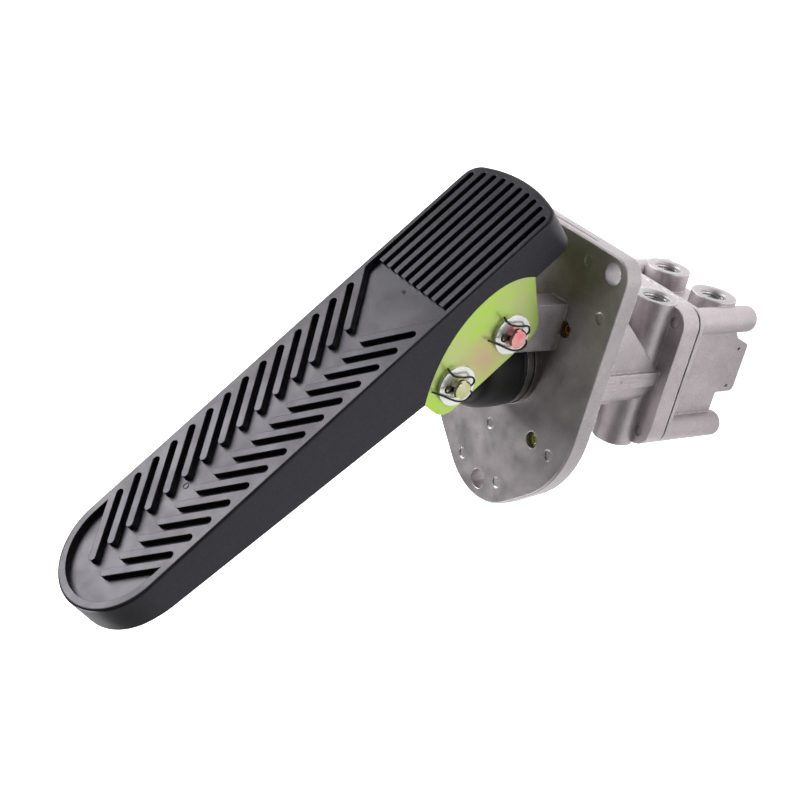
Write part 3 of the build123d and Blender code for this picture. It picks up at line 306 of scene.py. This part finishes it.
# %% Build the finishes
treadle_nylon = finish_of(
    "treadle_nylon", rgb(0.008, 0.008, 0.010), rgb(0.013, 0.0125, 0.0155), 0.0, 0.34, 0.46,
    0.0005, (1500.0, 0.00004), (240.0, 0.00005), cloud=(55.0, 0.14),
    wear_and_highlight_colour=rgb(0.05, 0.049, 0.055), wear_and_highlight_width=0.0008, wear_and_highlight_amount=0.5)
nylon_shader = treadle_nylon.node_tree.nodes["Principled BSDF"].inputs
nylon_shader["Specular Tint"].default_value = rgb(0.92, 0.88, 1.0)
nylon_shader["Specular IOR Level"].default_value = 0.36
passivated_zinc = finish_of(
    "passivated_zinc", rgb(0.45, 0.69, 0.10), rgb(0.55, 0.61, 0.27), 0.75, 0.34, 0.42,
    0.0003, (1200.0, 0.000016), (300.0, 0.00002), cloud=(34.0, 0.14),
    wear_and_highlight_colour=rgb(0.75, 0.78, 0.45), wear_and_highlight_width=0.0006)
bright_zinc = finish_of(
    "bright_zinc", rgb(0.93, 0.93, 0.91), rgb(0.86, 0.86, 0.83), 0.60, 0.20, 0.28,
    0.0007, (1500.0, 0.00001), (200.0, 0.00001), cloud=(120.0, 0.2))
rosy_zinc = finish_of(
    "rosy_zinc", rgb(0.76, 0.20, 0.26), rgb(0.76, 0.46, 0.38), 0.92, 0.12, 0.22,
    0.0003, (1500.0, 0.00001), (300.0, 0.00001), cloud=(160.0, 0.2))
dark_wire = finish_of(
    "dark_wire", rgb(0.012, 0.013, 0.007), rgb(0.036, 0.034, 0.016), 0.6, 0.34, 0.46,
    0.0002, (1500.0, 0.00001), (300.0, 0.00001), cloud=(200.0, 0.2))


def cast_finish(name, darker, lighter):
    """Blasted die casting between two grey levels, with a faint warm violet cast."""
    # The castings' pale edges, at full strength, are partly wear and partly painted highlight.
    return finish_of(
        name, rgb(darker, darker * 0.915, darker * 0.945), rgb(lighter, lighter * 0.92, lighter * 0.95),
        0.88, 0.42, 0.54, 0.0010, (1500.0, 0.00007), (420.0, 0.00006), cloud=(60.0, 0.16),
        wear_and_highlight_colour=rgb(0.86, 0.83, 0.83), wear_and_highlight_width=0.0010, wear_and_highlight_amount=1.0)


cast_aluminium = cast_finish("cast_aluminium", 0.46, 0.56)
plate_aluminium = cast_finish("plate_aluminium", 0.38, 0.47)
turned_aluminium = finish_of(
    "turned_aluminium", rgb(0.62, 0.61, 0.61), rgb(0.70, 0.69, 0.69), 0.92, 0.22, 0.30,
    0.0003, (1500.0, 0.00001), (300.0, 0.00001), cloud=(90.0, 0.2))
plain_bronze = finish_of(
    "plain_bronze", rgb(0.50, 0.33, 0.14), rgb(0.58, 0.40, 0.18), 0.9, 0.30, 0.40,
    0.0002, (1500.0, 0.00001), (300.0, 0.00001))
soft_rubber = finish_of(
    "soft_rubber", rgb(0.004, 0.004, 0.004), rgb(0.008, 0.008, 0.008), 0.0, 0.50, 0.60,
    0.0005, (1100.0, 0.00002), (200.0, 0.00003), cloud=(60.0, 0.2))
cut_face = finish_of(
    "cut_face", rgb(0.36, 0.35, 0.35), rgb(0.42, 0.41, 0.41), 0.90, 0.32, 0.42,
    0.0002, (1500.0, 0.00002), (300.0, 0.00001), cloud=(400.0, 0.2))
# The collar's darker copy of the turned finish is painted shade for the shadow the collar sits in; its pale
# edges are partly wear and partly painted highlight.
collar_painted_shade = finish_of(
    "collar_painted_shade", rgb(0.15, 0.14, 0.135), rgb(0.22, 0.205, 0.20), 0.80, 0.34, 0.44,
    0.0003, (1500.0, 0.00002), (300.0, 0.00002), cloud=(90.0, 0.2),
    wear_and_highlight_colour=rgb(0.75, 0.72, 0.70), wear_and_highlight_width=0.0006, wear_and_highlight_amount=0.9)
finishes = {
    "cast_aluminium": cast_aluminium, "machined_aluminium": turned_aluminium,
    "passivated_steel": passivated_zinc, "zinc_steel": bright_zinc, "pin_steel": rosy_zinc,
    "spring_steel": dark_wire, "bronze": plain_bronze, "tread_plastic": treadle_nylon,
    "boot_rubber": soft_rubber, "seal_rubber": soft_rubber,
}
slot_of = {entry["node"]: entry["material_slot"] for entry in frame["record"]["subparts"]}
for name, solid in nodes.items():
    solid.data.materials.clear()
    solid.data.materials.append(finishes[slot_of[name]])
# The collar takes the darker copy: painted shade.
nodes["guide_collar"].data.materials[0] = collar_painted_shade
nodes["mounting_plate"].data.materials[0] = plate_aluminium
nodes["roller"].data.materials[0] = turned_aluminium
soft_rubber.node_tree.nodes["Principled BSDF"].inputs["Specular IOR Level"].default_value = 0.3
print("finishes:", len(set(finishes.values())))

# %% [markdown]
# ## Speckle
# Blasted castings sparkle: each dent a fraction of a millimetre wide sends the light elsewhere. Bump
# alone can't show that from a distance, so a fine noise also lightens and darkens the colour.


# %% Speckle on the castings and the treadle
def speckle(material, scale, darkest, lightest):
    """Multiply a finish's colour by fine noise between two strengths."""
    graph = Graph(material.node_tree)
    shader = material.node_tree.nodes["Principled BSDF"]
    place = graph.node("ShaderNodeTexCoord").outputs["Object"]
    spots = graph.ramp(graph.noise(place, scale, detail=2.0, rough=0.7), 0.3, 0.7)
    shade = graph.blend(spots, rgb(darkest, darkest, darkest), rgb(lightest, lightest, lightest))
    before = shader.inputs["Base Color"].links[0].from_socket
    product = graph.blend(1.0, before, shade)
    product.node.blend_type = "MULTIPLY"
    product.node.clamp_result = False
    graph.feed(shader, "Base Color", product)


speckle(cast_aluminium, 1300.0, 0.88, 1.12)
speckle(plate_aluminium, 1300.0, 0.88, 1.12)
speckle(treadle_nylon, 900.0, 0.7, 1.4)
print("speckled: castings and treadle")

# %% [markdown]
# ## Tints in one place
# Yellow zinc is never one colour: the film turned pink between the two pins of the bracket, and the
# two pins came out of the bath differently. A soft round mask, measured from a spot on the solid,
# blends a second colour in, and the lower pin gets a finish of its own.


# %% Tint the bracket and the roller pin
def tint_near(material, spot, inner, outer, colour):
    """Blend a colour into a finish round a spot, out to a distance in metres."""
    graph = Graph(material.node_tree)
    shader = material.node_tree.nodes["Principled BSDF"]
    place = graph.node("ShaderNodeTexCoord").outputs["Object"]
    away = material.node_tree.nodes.new("ShaderNodeVectorMath")
    away.operation = "DISTANCE"
    material.node_tree.links.new(place, away.inputs[0])
    away.inputs[1].default_value = spot
    uneven = graph.maths("MULTIPLY_ADD", graph.noise(place, 130.0), 0.012)
    uneven.node.inputs[2].default_value = -0.006
    reach = graph.maths("ADD", away.outputs["Value"], uneven)
    mask = graph.ramp(reach, outer, inner)
    before = shader.inputs["Base Color"].links[0].from_socket
    graph.feed(shader, "Base Color", graph.blend(mask, before, colour))


def middle(name):
    low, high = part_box(name)
    return (low + high) / 2


pivot, axle = middle("pivot_pin"), middle("roller_pin")
ear_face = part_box("pedal_bracket")[1].y
between = (pivot + axle) / 2
tint_near(passivated_zinc, (between.x, ear_face, between.z), 0.001, 0.016, rgb(0.60, 0.45, 0.28))
nodes["roller_pin"].data.materials[0] = finish_of(
    "pale_yellow_zinc", rgb(0.46, 0.52, 0.20), rgb(0.66, 0.62, 0.44), 0.92, 0.12, 0.22,
    0.0003, (1500.0, 0.00001), (300.0, 0.00001), cloud=(160.0, 0.2))
print("tinted between the pins, which are", round((axle - pivot).length / MM, 1), "mm apart")

# %% [markdown]
# ## Split pins
# A split pin is one half-round wire folded into an eye. It goes through the cross hole of the pin
# until the eye stops it, and its two legs are bent back round the pin, never quite alike. A curve
# with a round section draws each leg, because a bent wire is a path before it is a shape.


# %% Wire helper and the four split pins
def own(piece, body, slot, *replaced):
    """Let a piece ride on a body and stand for solids; its slot is not used."""
    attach(piece, body)
    for name in replaced:
        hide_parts(name)
    return piece


def wire(name, runs, radius, finish):
    """Round wire along one or more runs; a run is its points and whether it closes."""
    data = bpy.data.curves.new(name, "CURVE")
    data.dimensions = "3D"
    data.bevel_depth = radius
    data.bevel_resolution = 3
    data.use_fill_caps = True
    for points, closed in runs:
        spline = data.splines.new("NURBS")
        spline.points.add(len(points) - 1)
        for point, spot in zip(spline.points, points):
            point.co = (*spot, 1.0)
        spline.order_u = 3
        spline.use_cyclic_u = closed
        spline.use_endpoint_u = not closed
        spline.resolution_u = 8
    data.materials.append(finish)
    made = bpy.data.objects.new(name, data)
    bpy.context.scene.collection.objects.link(made)
    return made


WIRE_RADIUS = 0.5 * MM
EYE_RADIUS = 1.9 * MM
EYE_ABOVE = 7.0 * MM
FIRST_LEG = [(0.5, 5.4), (0.5, 0.0), (0.7, -5.2), (3.0, -8.2), (6.6, -6.4), (7.3, -1.0), (5.6, 4.2),
             (3.7, 9.0), (2.0, 14.6)]
SECOND_LEG = [(-0.5, 5.4), (-0.5, 0.0), (-0.6, -5.2), (-2.6, -7.8), (-6.0, -6.0), (-5.8, -1.0),
              (-6.0, 3.6), (-7.6, 7.0), (-10.3, 9.4)]
LEG_LEAN = 0.17
SPLIT_HOLE = 1.25 * MM
split_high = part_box("split_pins")[1]
pin_level = split_high.y - SPLIT_HOLE
for label, centre in (("upper", pivot), ("lower", axle)):
    for side_name, side in (("near", 1), ("far", -1)):
        eye = []
        for step in range(8):
            angle = math.tau * step / 8
            spot = Vector((math.sin(angle), 0.0, math.cos(angle))) * EYE_RADIUS
            eye.append(spot + Vector((centre.x, side * pin_level, centre.z + EYE_ABOVE)))
        legs = []
        for leg in (FIRST_LEG, SECOND_LEG):
            run = []
            for across, up in leg:
                drop = LEG_LEAN * max(up, 0.0) if (across, up) in leg[5:] else 0.0
                level = side * (pin_level - drop * MM)
                run.append(Vector((centre.x + across * MM, level, centre.z + up * MM)))
            legs.append((run, False))
        piece = wire(f"split_pin_{label}_{side_name}", [(eye, True), *legs], WIRE_RADIUS, dark_wire)
        own(piece, "pedal", slot_of["split_pins"], "split_pins")
print("split pins at y =", round(pin_level / MM, 1), "mm on both sides")

# %% [markdown]
# ## Threads in the ports
# The four ports take hose fittings, so their walls carry a fine thread. A thread is a small profile
# that turns about the bore and moves one pitch along it in each turn. The loop writes one ring of
# points per step, joins it to the last ring, and lets the crest fade out at both ends.


# %% A helical thread for each port
def mesh_piece(name, build, finish, smooth=True):
    """Turn a bmesh into an object with one finish."""
    bmesh.ops.recalc_face_normals(build, faces=build.faces)
    data = bpy.data.meshes.new(name)
    build.to_mesh(data)
    build.free()
    for face in data.polygons:
        face.use_smooth = smooth
    data.materials.append(finish)
    made = bpy.data.objects.new(name, data)
    bpy.context.scene.collection.objects.link(made)
    return made


def join_rings(build, first, second):
    """Quads between two rings of as many points."""
    for step in range(len(first)):
        after = (step + 1) % len(first)
        build.faces.new((first[step], first[after], second[after], second[step]))


THREAD_PITCH = 1.5 * MM
THREAD_CREST = 6.70 * MM
THREAD_START = 1.6 * MM
THREAD_DEPTH = 12.4 * MM
THREAD_STEPS = 36
THREAD_FADE = 18
PROFILE = ((0.0, -0.44), (1.0, -0.09), (1.0, 0.09), (0.0, 0.44))


def port_thread(name, mouth, root):
    """A helical ridge that runs into a bore along +X from its mouth."""
    build = bmesh.new()
    count = round(THREAD_DEPTH / THREAD_PITCH * THREAD_STEPS)
    last = None
    for step in range(count + 1):
        angle = math.tau * step / THREAD_STEPS
        along = THREAD_START + THREAD_PITCH * step / THREAD_STEPS
        height = (root - THREAD_CREST) * min(1.0, 0.05 + step / THREAD_FADE, 0.05 + (count - step) / THREAD_FADE)
        ring = []
        for lift, shift in PROFILE:
            radius = root - lift * height
            spot = Vector((along + shift * THREAD_PITCH, radius * math.cos(angle), radius * math.sin(angle)))
            ring.append(build.verts.new(mouth + spot))
        if last:
            join_rings(build, last, ring)
        else:
            build.faces.new(ring)
        last = ring
    build.faces.new(last)
    return mesh_piece(name, build, turned_aluminium, smooth=False)


ports = {}
for mount in frame["record"]["mounts"]:
    if mount["kind"] == "threaded_hole":
        ports[mount["name"]] = (Vector(mount["pos_m"]), mount["dims"]["r_mm"] * MM)
for name, (spot, radius) in ports.items():
    body = "upper_body" if name.startswith("upper") else "lower_body"
    mouth = Vector((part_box(body)[0].x, spot.y, spot.z))
    own(port_thread(name + "_thread", mouth, radius + 0.03 * MM), "base", slot_of["guide_collar"])
print("threaded ports:", len(ports))

# %% [markdown]
# ## Turned and pressed rings
# The face of each port was cut flat so that a fitting can seal on it, which leaves a brighter ring.
# A lathe helper turns any small profile about an axis, and the same helper makes the coloured
# floors of the screw sockets and the faint ring marks that ejector pins left in the treadle.


# %% Lathe helper and the port rings
def lathe(name, profile, centre, axis, finish, steps=64, smooth=False):
    """Turn a closed profile of (radius, height) pairs about an axis through a centre."""
    build = bmesh.new()
    turn = Vector(axis).to_track_quat("Z", "Y")
    rings = []
    for step in range(steps):
        angle = math.tau * step / steps
        ring = []
        for radius, height in profile:
            local = Vector((radius * math.cos(angle), radius * math.sin(angle), height))
            ring.append(build.verts.new(centre + turn @ local))
        rings.append(ring)
    for step in range(steps):
        join_rings(build, rings[step], rings[(step + 1) % steps])
    return mesh_piece(name, build, finish, smooth)


RING_THICK = 0.08 * MM
RING_INNER = 8.3 * MM
RING_OUTER = {"upper_body": 10.2 * MM, "lower_body": 11.4 * MM}
for name, (spot, radius) in ports.items():
    body = "upper_body" if name.startswith("upper") else "lower_body"
    outer = RING_OUTER[body]
    profile = ((RING_INNER, -RING_THICK), (RING_INNER, RING_THICK), (outer, RING_THICK), (outer, -RING_THICK))
    mouth = Vector((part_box(body)[0].x, spot.y, spot.z))
    own(lathe(name + "_ring", profile, mouth, (-1, 0, 0), cut_face), "base", slot_of["guide_collar"])
print("port rings:", len(ports))

# %% Coloured heads of the plate screws
red_film = finish_of(
    "red_film", rgb(0.42, 0.035, 0.03), rgb(0.55, 0.10, 0.04), 0.8, 0.26, 0.36,
    0.0002, (1500.0, 0.00001), (300.0, 0.00001), cloud=(500.0, 0.2))
pale_film = finish_of(
    "pale_film", rgb(0.62, 0.64, 0.24), rgb(0.72, 0.70, 0.40), 0.8, 0.26, 0.36,
    0.0002, (1500.0, 0.00001), (300.0, 0.00001), cloud=(500.0, 0.2))
SCREW_HEAD = 4.0 * MM
SOCKET_CORNER = 2.3 * MM
SOCKET_SEEN = 0.6 * MM
FILM_CENTRE = 0.05 * MM
FILM_THICK = 0.06 * MM
screw_low, screw_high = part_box("plate_screws")
head_x, head_y = screw_high.x - SCREW_HEAD, screw_high.y - SCREW_HEAD
for label, side, film, reach in (("heel", -1, red_film, 3.4 * MM), ("toe", 1, pale_film, 3.6 * MM)):
    for side_name, across in (("near", 1), ("far", -1)):
        centre = Vector((side * head_x, across * head_y, screw_high.z))
        profile = ((FILM_CENTRE, -SOCKET_SEEN - FILM_THICK), (FILM_CENTRE, -SOCKET_SEEN),
                   (SOCKET_CORNER, -SOCKET_SEEN), (SOCKET_CORNER, FILM_THICK), (reach, FILM_THICK),
                   (reach, -SOCKET_SEEN - FILM_THICK))
        own(lathe(f"screw_film_{label}_{side_name}", profile, centre, (0, 0, 1), film, 32),
            "base", slot_of["plate_screws"])
print("screws at", round(head_x / MM, 1), round(head_y / MM, 1), "mm from the middle")

# %% [markdown]
# ## Parting lines
# Where the two halves of a die meet, a hair of metal is left standing round the casting. Cutting the
# solid with the plane of the die gives that line exactly, and a thin wire laid on it catches the
# light as the real one does.


# %% Parting lines on the castings
def outline_at(name, spot, normal):
    """The longest closed outline that a plane cuts from a solid."""
    build = bmesh.new()
    build.from_mesh(nodes[name].data)
    everything = build.verts[:] + build.edges[:] + build.faces[:]
    cut = bmesh.ops.bisect_plane(build, geom=everything, plane_co=spot, plane_no=normal)
    edges = {item for item in cut["geom_cut"] if isinstance(item, bmesh.types.BMEdge)}
    longest = []
    while edges:
        edge = edges.pop()
        start, tip = edge.verts
        run = [start.co.copy(), tip.co.copy()]
        while True:
            step = next((e for e in tip.link_edges if e in edges), None)
            if step is None:
                break
            edges.remove(step)
            tip = step.other_vert(tip)
            run.append(tip.co.copy())
        if tip is start:
            run.pop()
        if sum((b - a).length for a, b in zip(run, run[1:])) > sum((b - a).length for a, b in zip(longest, longest[1:])):
            longest = run
    build.free()
    return longest


FLASH_RADIUS = 0.25 * MM
plate_low, plate_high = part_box("mounting_plate")
rim = outline_at("mounting_plate", (0, 0, plate_low.z * 0.45), (0, 0, 1))
own(wire("plate_flash", [(rim, True)], FLASH_RADIUS, plate_aluminium), "base", slot_of["mounting_plate"])
print("plate outline:", len(rim), "points")

# %% Core marks on the near rib
RIB_FACE = 34.0 * MM
MARK_WIRE = 0.38 * MM
SLOT_HALF = 1.4 * MM
SLOT_ENDS = ((-24.0 * MM, -44.0 * MM), (-48.0 * MM, -70.0 * MM))
slots = []
for top, bottom in SLOT_ENDS:
    corners = ((-SLOT_HALF, top), (SLOT_HALF, top), (SLOT_HALF, bottom), (-SLOT_HALF, bottom))
    slots.append(([Vector((x, RIB_FACE, z)) for x, z in corners], True))
own(wire("rib_core_marks", slots, MARK_WIRE, cast_aluminium), "base", slot_of["upper_body"])
print("core marks:", len(slots))

# %% [markdown]
# ## Ejector marks on the treadle
# Pins pushed the treadle out of its mould and left small rings in it. The photograph shows where:
# a ray from the lens through each mark's pixel meets the solid, and the ring is laid on that spot.


# %% Marks placed by a ray from the camera
MARK_PIXELS = {"toe_mark": (186, 486, 1.4 * MM), "heel_mark": (404, 292, 0.8 * MM)}
MARK_RIDGE = 0.32 * MM
dull_nylon = finish_of(
    "dull_nylon", rgb(0.003, 0.003, 0.003), rgb(0.006, 0.006, 0.006), 0.0, 0.70, 0.80,
    0.0002, (1500.0, 0.00001), (300.0, 0.00001), specular=0.1)
surface = bmesh.new()
surface.from_mesh(nodes["pedal_tread"].data)
target = BVHTree.FromBMesh(surface)
surface.free()
for name, (right, down, reach) in MARK_PIXELS.items():
    middle_pixel = PICTURE / 2
    aim = (right - middle_pixel) * to_right + (middle_pixel - down) * to_up - FOCAL_PIXELS * to_back
    spot, normal = target.ray_cast(camera_spot, aim.normalized())[:2]
    profile = ((reach - MARK_RIDGE, -MARK_RIDGE), (reach, MARK_RIDGE), (reach + MARK_RIDGE, -MARK_RIDGE))
    own(lathe(name, profile, spot, normal, dull_nylon, 32, smooth=True), "pedal", slot_of["pedal_tread"])
    print(name, "at", [round(value / MM, 1) for value in spot])

# %% [markdown]
# ## The rubber boot
# The boot keeps dirt out of the plunger's bore. It is thin rubber, clipped round the collar's ring
# below and the plunger's neck above, with one fold that lets it shorten. Its half section is drawn
# as a few points, the corners are cut twice to soften them, and the lathe turns the result. A slow
# wave in the radius keeps it from looking machined.


# %% Soft folded boot
def soften(points, rounds=2):
    """Cut the corners of an open run of points, which turns folds into soft bends."""
    for _ in range(rounds):
        run = [points[0]]
        for first, second in zip(points, points[1:]):
            run.append(tuple(a * 0.75 + b * 0.25 for a, b in zip(first, second)))
            run.append(tuple(a * 0.25 + b * 0.75 for a, b in zip(first, second)))
        run.append(points[-1])
        points = run
    return points


BOOT_SECTION = [
    (22.7, 0.0), (23.3, 0.6), (22.3, 2.0), (23.5, 3.4), (23.6, 9.0), (23.6, 15.7), (22.9, 19.5),
    (21.0, 23.7), (17.2, 25.3), (17.2, 26.4), (19.2, 28.7), (17.6, 31.2), (15.4, 33.0),
]
BOOT_NECK = 13.4
BOOT_WALL = 1.5
BOOT_WAVE = 0.012
boot_low, boot_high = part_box("boot")
outer = soften([(radius * MM, boot_low.z + rise * MM) for radius, rise in BOOT_SECTION])
outer.append((BOOT_NECK * MM, boot_high.z))
inner = [(radius - BOOT_WALL * MM, height) for radius, height in reversed(outer)]
boot = lathe("folded_boot", outer + inner, Vector(), (0, 0, 1), soft_rubber, 96, smooth=True)
for vertex in boot.data.vertices:
    around = math.atan2(vertex.co.y, vertex.co.x)
    share = (vertex.co.z - boot_low.z) / (boot_high.z - boot_low.z)
    swell = BOOT_WAVE * math.sin(math.pi * share) * math.sin(3 * around + 5 * share)
    vertex.co.x *= 1 + min(swell, 0.0)
    vertex.co.y *= 1 + min(swell, 0.0)
own(boot, "base", slot_of["boot"], "boot")
print("boot:", len(boot.data.vertices), "points")

# %% [markdown]
# ## The elastic pieces
# When the pedal goes down, the plunger drops and everything elastic between it and the housing gets
# shorter. Here the boot and each spring only get a mesh of their own, riding on the plunger or on the
# base; nothing flattens them. The coils keep the shape of their solids: each piece is a copy of a
# solid's mesh, because the solid itself never changes.


# %% Give the boot and the springs meshes of their own
def shorten(piece):
    """Give a piece its own copy of its mesh; it is not flattened."""
    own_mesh(piece)


springs = {}
for joint in frame["record"]["behaviour"]["joints"]:
    if joint["type"] == "slide":
        for entry in joint["deforming_nodes"]:
            springs[entry["node"]] = (joint["name"], joint["child"])
shorten(boot)
for name, (joint, mover) in springs.items():
    if name == "boot":
        continue
    copied = bpy.data.objects.new(name + "_coil", nodes[name].data.copy())
    bpy.context.scene.collection.objects.link(copied)
    low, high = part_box(name)
    if name == "graduating_spring":
        own(copied, "plunger", slot_of[name], name)
        shorten(copied)
    else:
        own(copied, "base", slot_of[name], name)
        shorten(copied)
print("elastic pieces:", len(springs))

# %% [markdown]
# ## Floor and light
# The valve stands on a light table: a white floor that glows a little, as in a product studio. The
# walls and bosses that look down or sideways catch that glow, while the plate's face, which looks
# up at the pedal, stays dark. One broad lamp behind the toe mirrors along the tread and turns the
# black nylon grey, and a low lamp on the near side brightens the bracket.

# %% Floor, world and lamps
FLOOR_HEIGHT = cad_low.z - 0.002
FLOOR_GLOW = 0.55
FLOOR_SEEN = 0.45
SKY_LIGHT = 0.11
floor_mesh = bpy.data.meshes.new("studio_floor")
reach = 6.0
floor_mesh.from_pydata(
    [(-reach, -reach, FLOOR_HEIGHT), (reach, -reach, FLOOR_HEIGHT), (reach, reach, FLOOR_HEIGHT),
     (-reach, reach, FLOOR_HEIGHT)], [], [(0, 1, 2, 3)])
floor = bpy.data.objects.new("studio_floor", floor_mesh)
bpy.context.scene.collection.objects.link(floor)
pale = bpy.data.materials.new("pale_floor")
pale.use_nodes = True
table = Graph(pale.node_tree)
white = pale.node_tree.nodes["Principled BSDF"].inputs
white["Base Color"].default_value = rgb(0.90, 0.90, 0.90)
white["Roughness"].default_value = 0.9
white["Specular IOR Level"].default_value = 0.0
white["Emission Color"].default_value = rgb(1.0, 0.99, 0.985)
seen = table.node("ShaderNodeLightPath").outputs["Is Camera Ray"]
glow = table.maths("ADD", table.maths("MULTIPLY", seen, FLOOR_SEEN), FLOOR_GLOW)
pale.node_tree.links.new(glow, white["Emission Strength"])
floor_mesh.materials.append(pale)
floor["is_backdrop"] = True

world = bpy.data.worlds.new("studio_world")
bpy.context.scene.world = world
world.use_nodes = True
world.node_tree.nodes["Background"].inputs["Color"].default_value = rgb(1.0, 1.0, 1.0)
sky = Graph(world.node_tree)
seen = sky.node("ShaderNodeLightPath").outputs["Is Camera Ray"]
strength = sky.maths("ADD", sky.maths("MULTIPLY", seen, 1.0 - SKY_LIGHT), SKY_LIGHT)
sky.feed(world.node_tree.nodes["Background"], "Strength", strength)


def lamp(name, direction, distance, size, power, target=(0.02, 0.0, 0.06)):
    """A square soft lamp that looks at a point of the valve from a direction."""
    data = bpy.data.lights.new(name, "AREA")
    data.shape = "SQUARE"
    data.size = size
    data.energy = power
    made = bpy.data.objects.new(name, data)
    back = Vector(direction).normalized()
    made.location = Vector(target) + back * distance
    made.rotation_mode = "QUATERNION"
    made.rotation_quaternion = back.to_track_quat("Z", "Y")
    made.visible_camera = False
    bpy.context.scene.collection.objects.link(made)
    return made


lamp("tread_lamp", (-0.363, -0.709, 0.605), 1.16, 0.75, 20.0)
lamp("toe_lamp", (0.80, -0.25, 0.40), 1.1, 0.4, 5.0)
lamp("near_lamp", (-0.25, 1.0, -0.02), 1.1, 0.25, 2.2, target=(0.0, 0.03, 0.0))
bpy.context.scene.view_settings.view_transform = "Standard"

# %% Print the visual box
low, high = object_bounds()
print("visual box in mm:", [round((b - a) / MM, 1) for a, b in zip(low, high)])
